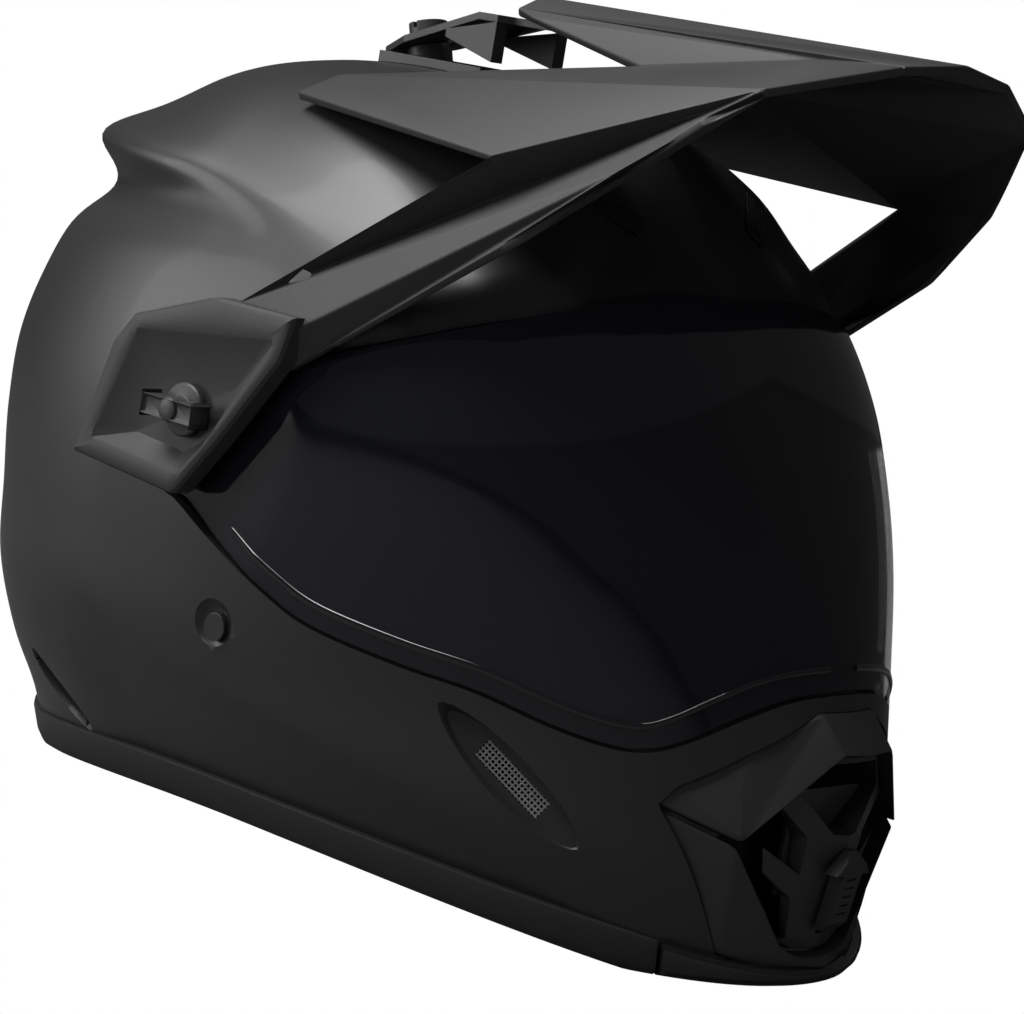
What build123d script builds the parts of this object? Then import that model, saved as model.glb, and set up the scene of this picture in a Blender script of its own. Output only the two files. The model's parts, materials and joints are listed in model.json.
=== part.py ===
"""A dual sport helmet built as separate pieces that come apart on a bench.

The front faces -Y, the wearer's right is -X, and the rim stands on Z = 0.
All lengths are in millimetres. The side pivots lie on the line Y = 0 until
the last step, which puts the origin under the middle of the whole helmet.
"""
from build123d import *
import math
import os

# Shell
SHELL_HEIGHT = 272.0
SHELL_HALF_WIDTH = 126.5
SHELL_FRONT = 197.0
SHELL_REAR = 166.0
SHELL_WALL = 5.0
SKIN_POINTS = 36
OUTLINE_POINTS = 18
SPOILER_RISE = 11.0
SPOILER_SPREAD = 9.0
CHANNEL_DEPTH = 7.0
CHANNEL_SPREAD = 10.0
# Each row: height, half width, front reach, rear reach, widest place, front and rear power.
SKIN_SHARES = [
    (0.000, 0.706, 0.979, 0.900, -0.084, 2.08, 2.79),
    (0.081, 0.798, 0.998, 0.909, -0.071, 2.03, 2.75),
    (0.165, 0.906, 1.000, 0.942, -0.029, 1.95, 2.70),
    (0.265, 0.968, 0.989, 0.977, 0.031, 1.82, 2.69),
    (0.368, 0.991, 0.941, 0.986, 0.040, 1.96, 2.68),
    (0.471, 1.000, 0.878, 1.000, 0.046, 2.20, 2.69),
    (0.570, 0.994, 0.797, 0.998, 0.050, 2.50, 2.66),
    (0.669, 0.964, 0.713, 0.958, 0.068, 2.75, 2.54),
    (0.765, 0.887, 0.622, 0.903, 0.125, 2.87, 2.39),
    (0.846, 0.777, 0.530, 0.836, 0.183, 2.71, 2.33),
    (0.912, 0.642, 0.446, 0.730, 0.200, 2.65, 2.26),
    (0.960, 0.461, 0.320, 0.607, 0.185, 2.45, 2.19),
    (0.987, 0.245, 0.110, 0.430, 0.168, 2.20, 2.09),
    (1.000, 0.030, -0.125, 0.190, 0.158, 2.00, 2.00),
]
# Spoiler crest and channel floor: angle round from the side, then height.
CREST_SHARES = [(-31, 0.790), (-22, 0.801), (8, 0.835), (58, 0.849), (90, 0.851)]
FLOOR_SHARES = [(-31, 0.783), (-6, 0.787), (2, 0.794), (38, 0.776), (90, 0.774)]
RELIEF_START_SHARE = 0.6
CREST_START_ANGLE = -31
CREST_FULL_ANGLE = 52
FLOOR_START_ANGLE = -20
FLOOR_FULL_ANGLE = 36

# Rim, rubber trim and chin bumper
RIM_RISE = 11.0
RIM_BAND = 15.0
RIM_BAND_FRONT = 7.0
RIM_FLAT_REAR = 112.0
RIM_FLAT_FRONT = 160.0
TRIM_PROUD = 1.8
TRIM_DEPTH = 9.0
TRIM_LIP = 6.0
BUMPER_PROUD = 4.0
BUMPER_START = 168.0
FIT_GAP = 0.3
RUN_GAP = 0.05
CUT_OVERRUN = 40.0
THIN = 0.15

# Pivots and shield
PIVOT_HEIGHT = 150.0
SHIELD_WALL = 2.2
SHIELD_SEAT = 3.0
SHIELD_MARGIN = 1.4
SHIELD_EAR_R = 30.0
SHIELD_EAR_OUT = 123.2
SWEEP_GAP = 1.0
SWEEP_STEPS = 48
EAR_FLAT_R = 44.0
EAR_SWEEP_R = 64.0
PORT_MARGIN = 12.0
PORT_REAR = 30.0
POCKET_R = 48.0
POCKET_FLOOR = 120.4
POCKET_WALL = 5.4
POCKET_RING = 4.0
SEAL_WIDTH = 4.0
SEAL_DEPTH = 3.0
# Forward reach and height of the shield's edges, seen from the side.
SHIELD_LOWER_SHARES = [
    (-0.010, 0.4375), (0.091, 0.397), (0.193, 0.360), (0.284, 0.335), (0.442, 0.316),
    (0.569, 0.305), (0.680, 0.283), (0.761, 0.272), (0.812, 0.276), (0.853, 0.294),
    (0.893, 0.3235), (0.929, 0.351), (0.955, 0.362), (1.150, 0.362),
]
SHIELD_UPPER_SHARES = [
    (1.150, 0.787), (0.596, 0.787), (0.553, 0.757), (0.482, 0.728), (0.426, 0.7096),
    (0.360, 0.6875), (0.284, 0.665), (0.1675, 0.632), (0.060, 0.640),
]
SWEEP_TOP_SHARE = 1.15

# Pivot base plates, knobs and inserts
BASE_PLATE_R = 24.0
BASE_PLATE_WALL = 2.8
BASE_PLATE_GAP = 0.1
HUB_R = 9.0
HUB_RISE = 3.1
SCREW_R = 3.0
INSERT_R = 5.0
INSERT_LENGTH = 9.0
INSERT_BOSS_R = 14.0
KNOB_R = 9.0
KNOB_DISC = 3.4
KNOB_BAR_LENGTH = 24.0
KNOB_BAR_WIDTH = 6.5
KNOB_BAR_RISE = 6.2
KNOB_HUB_R = 4.2
KNOB_HUB_RISE = 7.0
KNOB_EDGE = 0.7

# Peak
PEAK_WALL = 3.0
PLATE_OUT = 136.0
PLATE_FLOOR = 130.4
PLATE_IN = 116.0
PLATE_GAP = 0.9
PLATE_HUB_R = 14.0
PLATE_BEVEL_SHARE = 0.93
PEAK_REACH = 189.0
PEAK_RISE = 152.0
PEAK_HALF_WIDTH = 132.0
# Share of half width, forward reach and rise over the pivots, on the wearer's left.
PEAK_SHARES = {
    "crest_rear": (0.000, 0.042, 1.000),
    "crest_front": (0.000, 1.000, 0.994),
    "spine_rear": (0.106, 0.053, 0.964),
    "spine_front": (0.190, 0.794, 0.957),
    "spine_low": (0.152, 0.122, 0.947),
    "gap_front": (0.227, 0.434, 0.882),
    "nose": (0.227, 0.984, 0.970),
    "corner": (0.568, 0.894, 0.882),
    "fin_bend": (0.500, -0.106, 0.752),
    "fin_tip": (0.606, -0.127, 0.700),
    "junction": (0.848, 0.513, 0.658),
    "ridge_high": (0.788, 0.746, 0.671),
    "ridge_low": (1.000, 0.243, 0.235),
    "edge_top": (0.561, 0.881, 0.858),
    "edge_high": (0.667, 0.831, 0.803),
    "edge_mid": (0.894, 0.593, 0.487),
    "edge_low": (0.966, 0.212, 0.139),
    "arm_rear": (0.985, 0.054, 0.235),
}
PEAK_FACETS = [
    ("crest_rear", "crest_front", "nose", "spine_front", "spine_rear"),
    ("spine_rear", "spine_front", "gap_front", "spine_low"),
    ("gap_front", "spine_front", "nose", "corner"),
    ("gap_front", "corner", "junction", "fin_tip", "fin_bend"),
    ("junction", "corner", "ridge_high", "ridge_low", "arm_rear"),
    ("ridge_low", "ridge_high", "edge_mid", "edge_low"),
    ("ridge_high", "corner", "edge_high", "edge_mid"),
    ("corner", "edge_top", "edge_high"),
]
# Side plate outline and its basin: forward reach and rise over the pivots.
PLATE_SHARES = [
    (-0.148, 0.178), (0.048, 0.255), (0.249, 0.257), (0.227, 0.158), (0.106, -0.046),
    (0.016, -0.184), (-0.259, -0.158), (-0.190, 0.112),
]
BASIN_TOP_SHARES = [(-0.127, 0.145), (0.212, 0.200), (0.075, -0.060), (0.020, -0.130), (-0.205, -0.112)]
BASIN_FLOOR_SHARES = [(-0.080, 0.050), (0.110, 0.075), (0.065, -0.045), (0.005, -0.092), (-0.130, -0.078)]

# Peak tail, crown bracket and crown screw
TAIL_WALL = 2.6
TAIL_SCREW_BACK = 42.0
TAIL_SCREW_RISE = 128.0
TAIL_SLOPE_SHARE = 0.328
TAIL_FLAT_RISE = 140.5
TAIL_HALF_WIDTH = 19.0
TAIL_NECK_HALF = 13.0
TAIL_NECK_FRONT = 9.0
TAIL_SHOULDER_FRONT = 6.0
TAIL_BOSS_HALF = 3.0
TAIL_BOSS_RISE = 146.8
TAIL_BOSS_FRONT = 34.0
TAIL_BOSS_BACK = 14.0
TAIL_FRONT = 40.0
TAIL_BACK = 58.0
TAIL_TIP_HALF = 6.0
TAIL_WAIST_HALF = 14.0
SKIRT_DROP = 14.0
SKIRT_BACK = 20.0
TAIL_SLOT_TRAVEL = 9.0
BRACKET_POST_R = 8.0
BRACKET_HALF_WIDTH = 15.0
BRACKET_FRONT = 2.0
BRACKET_BACK = 52.0
BRACKET_RISE = 2.0
DECK_PLAY = 0.45
CROWN_SCREW_R = 3.0
CROWN_HEAD_R = 7.0
CROWN_HEAD_RISE = 5.5
CROWN_COIN_SLOT = 1.6
CROWN_INSERT_R = 5.0
CROWN_INSERT_LENGTH = 9.0

# Mouth vent: half width, forward reach and height of each point, as shares of the vent's own size
VENT_HALF_WIDTH = 60.0
VENT_REACH = 201.0
VENT_HEIGHT = 91.0
VENT_SEAT = 3.0
VENT_DEPTH = 40.0
GRILLE_BACK = 186.0
COWL_SHARES = {
    "side": (1.000, 0.811, 0.637),
    "side_top": (0.933, 0.826, 0.703),
    "brow": (0.633, 0.891, 0.846),
    "top": (0.233, 0.940, 1.000),
    "top_mid": (0.000, 0.945, 1.000),
    "lip_side": (0.700, 0.930, 0.549),
    "lip_top": (0.217, 0.995, 0.879),
    "lip_mid": (0.000, 1.000, 0.873),
}
COWL_FACETS = [
    ("side", "side_top", "brow", "top", "lip_top", "lip_side"),
    ("top", "top_mid", "lip_mid", "lip_top"),
]
FRAME_SHARES = {
    "side": (0.990, 0.812, 0.615),
    "low_side": (0.633, 0.906, 0.121),
    "low": (0.400, 0.940, 0.077),
    "low_mid": (0.000, 0.985, 0.077),
    "rim_side": (0.717, 0.925, 0.530),
    "rim_low": (0.300, 0.958, 0.154),
    "rim_base": (0.183, 0.970, 0.121),
    "rim_mid": (0.000, 0.975, 0.115),
}
FRAME_FACETS = [
    ("side", "rim_side", "rim_low", "low_side"),
    ("low_side", "rim_low", "rim_base", "low"),
    ("low", "rim_base", "rim_mid", "low_mid"),
]
GRILLE_SHARES = {
    "side": (0.680, 0.905, 0.532),
    "top": (0.200, 0.968, 0.862),
    "top_mid": (0.000, 0.972, 0.857),
    "stem_top": (0.000, 0.985, 0.527),
    "low": (0.285, 0.935, 0.165),
    "base": (0.170, 0.945, 0.138),
    "base_mid": (0.000, 0.958, 0.135),
}
GRILLE_FACETS = [
    ("side", "top", "stem_top"),
    ("top", "top_mid", "stem_top"),
    ("side", "stem_top", "base_mid", "base", "low"),
]
HEX_HOLE_SHARES = [(-0.20, 0.835), (0.20, 0.835), (0.35, 0.725), (0.10, 0.575), (-0.10, 0.575), (-0.35, 0.725)]
UPPER_HOLE_SHARES = [(0.46, 0.680), (0.25, 0.560), (0.24, 0.420), (0.60, 0.560)]
LOWER_HOLE_SHARES = [(0.60, 0.490), (0.26, 0.330), (0.22, 0.180), (0.28, 0.175)]
SLIDER_HALF_WIDTH = 5.0
SLIDER_LOW = 20.0
SLIDER_HIGH = 44.0
SLIDER_PROUD = 5.0
SLIDER_HEAD_HALF = 9.0
SLIDER_HEAD_RISE = 8.0
SLIDER_GAP = 0.1
SLIDER_TRAVEL = 8.0
SLIDER_TONGUE_HALF = 2.0
SLIDER_TONGUE_RISE = 6.0
SLIDER_RIBS = 5
SLIDER_RIB_PITCH = 3.0
SLIDER_RIB_CUT = 0.7
SHUTTER_WALL = 1.6
SHUTTER_GAP = 0.4
SHUTTER_HALF_WIDTH = 18.0
SHUTTER_LOW = 30.0
SHUTTER_HIGH = 65.0
DUCT_MARGIN = 0.6

# Side and rear vents, forehead intakes
CHEEK_VENT_SHARES = (0.640, 0.208)
CHEEK_VENT_LENGTH = 46.0
CHEEK_VENT_WIDTH = 13.0
CHEEK_VENT_DIP = 35.0
MESH_LENGTH = 30.0
MESH_WIDTH = 9.0
MESH_WALL = 1.2
MESH_BAR = 0.8
MESH_ROWS = 3
MESH_COLUMNS = 9
VENT_POCKET = 3.4
VENT_FOAM_DEPTH = 6.0
REAR_VENT_SHARES = (0.464, 0.121)
REAR_VENT_LENGTH = 34.0
REAR_VENT_WIDTH = 8.0
REAR_VENT_TILT = 40.0
INTAKE_SHARES = (0.452, 0.886)
INTAKE_LENGTH = 30.0
INTAKE_WIDTH = 9.0
INTAKE_TILT = 35.0

# Liners
EPS_INSET = 33.0
EPS_INSET_BASE = 17.0
CHEEK_TOP = 98.0
CHEEK_FRONT = 62.0
CHEEK_REAR = 40.0
EPS_GAP = 0.4
COMFORT_WALL = 9.0
COMFORT_LOW = 108.0
CHEEK_PAD_WALL = 20.0
CHEEK_PAD_LOW = 32.0
NECK_ROLL_LOW = 17.0
NECK_ROLL_HIGH = 40.0
NECK_ROLL_WALL = 26.0
REAR_EPS_LOW = 41.0

# Chin strap
RIVET_BACK = -19.0
RIVET_HEIGHT = 81.0
RIVET_R = 3.0
RIVET_HEAD_R = 4.75
RIVET_HEAD = 1.6
DIMPLE_R = 8.0
DIMPLE_DEPTH = 1.2
ANCHOR_OUT = 110.5
ANCHOR_WALL = 2.0
ANCHOR_HALF_WIDTH = 15.0
ANCHOR_TOP = 92.0
ANCHOR_LOW = 54.0
ANCHOR_SLOT_LOW = 57.5
ANCHOR_SLOT_HIGH = 62.5
STRAP_WALL = 1.6
STRAP_WIDTH = 24.0
STRAP_BEND = 3.0
STRAP_DROP_IN = 87.0
STRAP_DROP_LOW = 26.0
STRAP_TURN_IN = 64.0
STRAP_HIGH = 15.6
STRAP_LOW = 2.6
RING_WIRE_R = 2.0
RING_BAR = 34.0
RING_SIDE = 12.0
RING_REACH = 19.0
RING_LOW = 7.0
RING_HIGH = 11.4
RING_LOW_IN = 25.0
RING_HIGH_IN = 31.0
LOOP_R = 4.0
RINGS_LOOP_LENGTH = 25.0
FOLD_IN = 19.5
TAIL_END = -34.0
SNAP_R = 6.0
SNAP_RISE = 2.4
SLEEVE_WALL = 6.0
SLEEVE_WIDTH = 32.0
CHANNEL_IN = 101.0
CHANNEL_MID = 79.0
CHANNEL_BEND = 36.0
CHANNEL_LOW = 68.0
CHANNEL_FOOT = 31.0
CHANNEL_HALF = 18.0


def between(value, pairs):
    """The value read from a short table of (place, value) pairs."""
    if value <= pairs[0][0]:
        return pairs[0][1]
    for (low, first), (high, last) in zip(pairs, pairs[1:]):
        if value <= high:
            return first + (last - first) * (value - low) / (high - low)
    return pairs[-1][1]


def ease(value, start, full):
    """A smooth climb from nothing at start to one at full."""
    t = min(max((value - start) / (full - start), 0), 1)
    return t * t * (3 - 2 * t)


def skin_row(share):
    """One row of the skin table at any height share, on a smooth curve between rows."""
    rows = SKIN_SHARES
    index = max(i for i in range(len(rows) - 1) if rows[i][0] <= max(share, 0))
    low, high = rows[index], rows[index + 1]
    before = rows[max(index - 1, 0)]
    after = rows[min(index + 2, len(rows) - 1)]
    width = high[0] - low[0]
    t = (max(share, 0) - low[0]) / width
    row = []
    for b, p, q, a in zip(before[1:], low[1:], high[1:], after[1:]):
        slope_p = width * (q - b) / (high[0] - before[0])
        slope_q = width * (a - p) / (after[0] - low[0])
        row.append(
            (2 * t**3 - 3 * t**2 + 1) * p + (t**3 - 2 * t**2 + t) * slope_p
            + (3 * t**2 - 2 * t**3) * q + (t**3 - t**2) * slope_q
        )
    return row


def relief(angle, share):
    """How far the rear spoiler's crest stands out and the channel under it lies in."""
    side = 90 - abs(abs(angle) - 90) if angle >= 0 else -min(-angle, 180 + angle)
    height = share * SHELL_HEIGHT
    crest = (height - between(side, CREST_SHARES) * SHELL_HEIGHT) / SPOILER_SPREAD
    floor = (height - between(side, FLOOR_SHARES) * SHELL_HEIGHT) / CHANNEL_SPREAD
    rise = SPOILER_RISE * ease(side, CREST_START_ANGLE, CREST_FULL_ANGLE) * math.exp(-crest * crest)
    dip = CHANNEL_DEPTH * ease(side, FLOOR_START_ANGLE, FLOOR_FULL_ANGLE) * math.exp(-floor * floor)
    return rise - dip


def skin_ring(share, inset, shaped):
    """The corners of the skin's outline at one height, drawn in by an inset."""
    half, front, rear, centre, front_power, rear_power = skin_row(share)
    middle = centre * SHELL_REAR
    side = max(half * SHELL_HALF_WIDTH - inset, THIN)
    fore = max(middle + front * SHELL_FRONT - inset, THIN)
    back = max(rear * SHELL_REAR - middle - inset, THIN)
    height = share * SHELL_HEIGHT
    if height > PIVOT_HEIGHT:
        height = PIVOT_HEIGHT + (height - PIVOT_HEIGHT) * (1 - inset / (SHELL_HEIGHT - PIVOT_HEIGHT))
    corners = []
    for i in range(SKIN_POINTS):
        turn = 2 * math.pi * i / SKIN_POINTS
        c, s = math.cos(turn), math.sin(turn)
        power, depth = (front_power, fore) if s < 0 else (rear_power, back)
        reach = (abs(c) ** power + abs(s) ** power) ** (-1 / power)
        x, y = side * reach * c, depth * reach * s
        if shaped:
            grow = 1 + relief(math.degrees(math.atan2(y, x)), share) / math.hypot(x, y)
            x, y = x * grow, y * grow
        corners.append(Vector(x, middle + y, height))
    return corners


def flat_face(*corners):
    """A flat face through its corners, which run anticlockwise as seen from outside."""
    return Face(Wire.make_polygon(list(corners)))


def skin(inset=0.0, base_inset=None, shaped=True, below=0.0):
    """A faceted solid inside the helmet's skin, drawn in by an inset that may differ at the base."""
    base = inset if base_inset is None else base_inset
    shares = [row[0] for row in SKIN_SHARES]
    shares += [(low + high) / 2 for low, high in zip(shares, shares[1:]) if low > RELIEF_START_SHARE]
    rings = []
    for share in sorted(shares):
        blend = ease(share * SHELL_HEIGHT, 0, PIVOT_HEIGHT)
        rings.append(skin_ring(share, base + (inset - base) * blend, shaped))
    if below:
        rings.insert(0, [corner - Vector(0, 0, below) for corner in rings[0]])
    faces = [flat_face(*reversed(rings[0])), flat_face(*rings[-1])]
    for low, high in zip(rings, rings[1:]):
        for i in range(SKIN_POINTS):
            after = (i + 1) % SKIN_POINTS
            if low[i].X + low[after].X > 0:
                faces.append(flat_face(low[i], low[after], high[after]))
                faces.append(flat_face(low[i], high[after], high[i]))
            else:
                faces.append(flat_face(low[i], low[after], high[i]))
                faces.append(flat_face(low[after], high[after], high[i]))
    return Part() + Solid(Shell(faces))


def skin_side(y, z, inset=0.0):
    """Half the width of the skin at a place seen from the side."""
    half, front, rear, centre, front_power, rear_power = skin_row(z / SHELL_HEIGHT)
    middle = centre * SHELL_REAR
    depth = middle + front * SHELL_FRONT if y < middle else rear * SHELL_REAR - middle
    power = front_power if y < middle else rear_power
    share = min(abs(y - middle) / (depth - inset), 1)
    return (half * SHELL_HALF_WIDTH - inset) * (1 - share**power) ** (1 / power)


def skin_plane(y, z, side, tilt):
    """A plane on the skin with its normal outwards and its local X turned by a tilt."""
    step = SHELL_WALL
    x = skin_side(y, z)
    along = Vector(skin_side(y - step, z) - x, -step, 0)
    up = Vector(skin_side(y, z + step) - x, 0, step)
    normal = up.cross(along).normalized()
    if normal.X < 0:
        normal = normal * -1
    plane = Plane(Vector(x, y, z), x_dir=along, z_dir=normal).rotated((0, 0, tilt))
    if side > 0:
        return plane
    origin, x_dir, z_dir = plane.origin, plane.x_dir, plane.z_dir
    return Plane(
        Vector(-origin.X, origin.Y, origin.Z),
        x_dir=Vector(-x_dir.X, x_dir.Y, x_dir.Z),
        z_dir=Vector(-z_dir.X, z_dir.Y, z_dir.Z),
    )


def side_points(shares):
    """Places seen from the side, from shares of the shell's front reach and height."""
    return [(-reach * SHELL_FRONT, rise * SHELL_HEIGHT) for reach, rise in shares]


def side_block(sketch):
    """A sketch of the side view pushed right through the helmet."""
    return extrude(Plane.YZ * sketch, amount=SHELL_HALF_WIDTH + CUT_OVERRUN, both=True)


def pivot_disc(radius, start, end, side):
    """A round solid on the pivot line between two distances from the middle."""
    plane = Plane((side * start, 0, PIVOT_HEIGHT), x_dir=(0, 1, 0), z_dir=(side, 0, 0))
    return Part() + Solid.make_cylinder(radius, end - start, plane)


def box_between(low, high):
    """A box from its lowest corner to its highest corner."""
    size = [b - a for a, b in zip(low, high)]
    return Part() + Pos(*low) * Solid.make_box(*size)


def largest(shape):
    """The biggest solid of a shape."""
    return max(shape.solids(), key=lambda solid: solid.volume)


def mirrored(shape):
    """The same shape on the other side of the helmet."""
    return mirror(shape, Plane.YZ)


def under_arc(lift_rear, lift_mid, lift_front, lift_tip):
    """Everything under the rim's arched line, seen from the side."""
    rear = (RIM_FLAT_REAR, lift_rear)
    front = (-RIM_FLAT_FRONT, lift_front)
    top = ((RIM_FLAT_REAR - RIM_FLAT_FRONT) / 2, RIM_RISE + lift_mid)
    far_rear = SHELL_REAR + CUT_OVERRUN
    far_front = -SHELL_FRONT - CUT_OVERRUN
    tip = (-SHELL_FRONT, lift_tip)
    edges = [
        Line((far_rear, lift_rear), rear),
        ThreePointArc(rear, top, front),
        Line(front, tip),
        Line(tip, (far_front, lift_tip)),
        Line((far_front, lift_tip), (far_front, -CUT_OVERRUN)),
        Line((far_front, -CUT_OVERRUN), (far_rear, -CUT_OVERRUN)),
        Line((far_rear, -CUT_OVERRUN), (far_rear, lift_rear)),
    ]
    return side_block(make_face(edges))


def under_seam(drop=0.0):
    """Everything under the seam between the shell and the rubber trim."""
    return under_arc(RIM_BAND - drop, RIM_BAND - drop, RIM_BAND - drop, RIM_BAND_FRONT - drop)


def pushed_out(points, margin):
    """A line of points moved square to itself, to its left when walked along."""
    moved = []
    for i, (y, z) in enumerate(points):
        before = points[max(i - 1, 0)]
        after = points[min(i + 1, len(points) - 1)]
        along_y, along_z = after[0] - before[0], after[1] - before[1]
        length = math.hypot(along_y, along_z)
        moved.append((y - margin * along_z / length, z + margin * along_y / length))
    return moved


def smooth_line(points):
    """Evenly spaced points on the smooth curve through a few."""
    curve = Spline(*points)
    places = [curve @ (i / OUTLINE_POINTS) for i in range(OUTLINE_POINTS + 1)]
    return [(place.X, place.Y) for place in places]


def shield_sketch(margin=0.0):
    """The shield's outline seen from the side, grown by a margin."""
    lower = pushed_out(side_points(SHIELD_LOWER_SHARES), margin)
    upper = pushed_out(side_points(SHIELD_UPPER_SHARES), margin)
    corners = smooth_line(lower[:-1]) + [lower[-1], upper[0]] + smooth_line(upper[1:])
    return make_face(Polyline(*corners, close=True)) + Pos(0, PIVOT_HEIGHT) * Circle(SHIELD_EAR_R + margin)


def port_sketch(margin):
    """The eye port's outline, inside the shield's by a margin."""
    front = Pos(-SHELL_FRONT - PORT_REAR, PIVOT_HEIGHT) * Rectangle(2 * SHELL_FRONT, SHELL_HEIGHT)
    return shield_sketch(-margin) & front


def clip_ears(solid, limit):
    """A solid with its sides cut flat at a distance from the middle."""
    reach = SHELL_REAR + SHELL_FRONT
    return solid & box_between((-limit, -reach, -CUT_OVERRUN), (limit, reach, SHELL_HEIGHT + CUT_OVERRUN))


def shield_wall(outer_inset, inner_inset, ear_out, ear_in):
    """A wall that follows the skin and goes flat at the pivots."""
    outer = clip_ears(skin(outer_inset, shaped=False), ear_out)
    inner = clip_ears(skin(inner_inset, shaped=False, below=CUT_OVERRUN), ear_in)
    return outer - inner


def make_shield():
    """The clear shield with a stiffening line and its two pivot holes."""
    ear_in = SHIELD_EAR_OUT - SHIELD_WALL
    wall = shield_wall(0, SHIELD_WALL, SHIELD_EAR_OUT, ear_in)
    lens = wall & side_block(shield_sketch())
    for side in (-1, 1):
        lens -= pivot_disc(HUB_R + RUN_GAP, POCKET_FLOOR, PLATE_OUT, side)
        lens -= pivot_disc(EAR_FLAT_R, 0, POCKET_FLOOR + FIT_GAP, side)
    return {"shield_lens": largest(lens)}


def sweep_room(lens):
    """The room over the brow that the opening shield passes through."""
    places = [edge @ (k / SWEEP_STEPS) for edge in lens.edges() for k in range(SWEEP_STEPS + 1)]
    spots = [(abs(p.X), math.hypot(p.Y, p.Z - PIVOT_HEIGHT)) for p in places]
    spots = [(x, r) for x, r in spots if r > SHIELD_EAR_R - FIT_GAP]
    width = SHIELD_EAR_OUT / SWEEP_STEPS
    profile = []
    for step in range(SWEEP_STEPS + 1):
        nearest = min(r for x, r in spots if abs(x - width * step) <= width)
        profile.append((width * step, nearest - SWEEP_GAP))
    edge_x = SHIELD_EAR_OUT + FIT_GAP
    profile.append((edge_x, profile[-1][1]))
    far = SHELL_HEIGHT
    points = [(-x, r) for x, r in reversed(profile[1:])] + profile
    profile_face = make_face(Polyline(*points, (edge_x, far), (-edge_x, far), close=True))
    plane = Plane((0, 0, PIVOT_HEIGHT), x_dir=(1, 0, 0), z_dir=(0, -1, 0))
    ring = revolve(plane * profile_face, Axis((0, 0, PIVOT_HEIGHT), (1, 0, 0)), 360)
    brow = side_points(SHIELD_UPPER_SHARES[1:])
    top = SWEEP_TOP_SHARE * SHELL_HEIGHT
    corners = brow + [(0, PIVOT_HEIGHT), (0, top), (-SHELL_FRONT, top), (-SHELL_FRONT, brow[0][1])]
    return ring & side_block(make_face(Polyline(*corners, close=True)))


def side_pocket_face(side):
    """How far in the flat pivot pocket and its boss reach on one side."""
    return pivot_disc(POCKET_R, POCKET_FLOOR, SHELL_HALF_WIDTH + CUT_OVERRUN, side)


def mesh_insert(plane, length, width):
    """A small flat grille of crossed bars set under the skin."""
    sink = plane.offset(-VENT_POCKET + FIT_GAP)
    grid = Rectangle(length, width)
    pitch_x = (length - MESH_BAR) / MESH_COLUMNS
    pitch_y = (width - MESH_BAR) / MESH_ROWS
    for column in range(MESH_COLUMNS):
        for row in range(MESH_ROWS):
            x = pitch_x * (column - (MESH_COLUMNS - 1) / 2)
            y = pitch_y * (row - (MESH_ROWS - 1) / 2)
            grid -= Pos(x, y) * Rectangle(pitch_x - MESH_BAR, pitch_y - MESH_BAR)
    return largest(extrude(sink * grid, amount=MESH_WALL))


def vent_cut(plane, length, width, through_length, through_width):
    """A pointed recess in the skin with a straight slot through the wall under it."""
    lens = Polyline((-length / 2, 0), (0, width / 2), (length / 2, 0), (0, -width / 2), close=True)
    recess = extrude(plane.offset(-VENT_POCKET) * make_face(lens), amount=CUT_OVERRUN)
    seat = extrude(plane.offset(-VENT_POCKET) * Rectangle(through_length, through_width), amount=VENT_POCKET)
    slot_length = through_length - 2 * MESH_BAR
    slot_width = through_width - 2 * MESH_BAR
    slot = extrude(plane.offset(-CUT_OVERRUN / 2) * Rectangle(slot_length, slot_width), amount=CUT_OVERRUN)
    return [recess, seat, slot]


def foam_recesses():
    """Hollows in the foam behind the small vents."""
    depth = VENT_POCKET + VENT_FOAM_DEPTH
    return [extrude(plane.offset(-depth) * Rectangle(insert[0], insert[1]), amount=depth)
            for _, plane, _, insert in vent_planes()]


def vent_planes():
    """Where the small vents lie: node name, plane, recess and insert sizes."""
    cheek_y, cheek_z = side_points([CHEEK_VENT_SHARES])[0]
    rear_y = REAR_VENT_SHARES[0] * SHELL_REAR
    rear_z = REAR_VENT_SHARES[1] * SHELL_HEIGHT
    intake_y, intake_z = side_points([INTAKE_SHARES])[0]
    recess = (CHEEK_VENT_LENGTH, CHEEK_VENT_WIDTH)
    places = []
    for side, word in ((-1, "right"), (1, "left")):
        places += [
            (f"cheek_vent_mesh_{word}", skin_plane(cheek_y, cheek_z, side, CHEEK_VENT_DIP), recess,
             (MESH_LENGTH, MESH_WIDTH)),
            (f"rear_vent_mesh_{word}", skin_plane(rear_y, rear_z, side, REAR_VENT_TILT),
             (REAR_VENT_LENGTH, REAR_VENT_WIDTH), (REAR_VENT_LENGTH, REAR_VENT_WIDTH)),
            (f"forehead_vent_mesh_{word}", skin_plane(intake_y, intake_z, side, INTAKE_TILT),
             (INTAKE_LENGTH, INTAKE_WIDTH), (INTAKE_LENGTH, INTAKE_WIDTH)),
        ]
    return places


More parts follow.
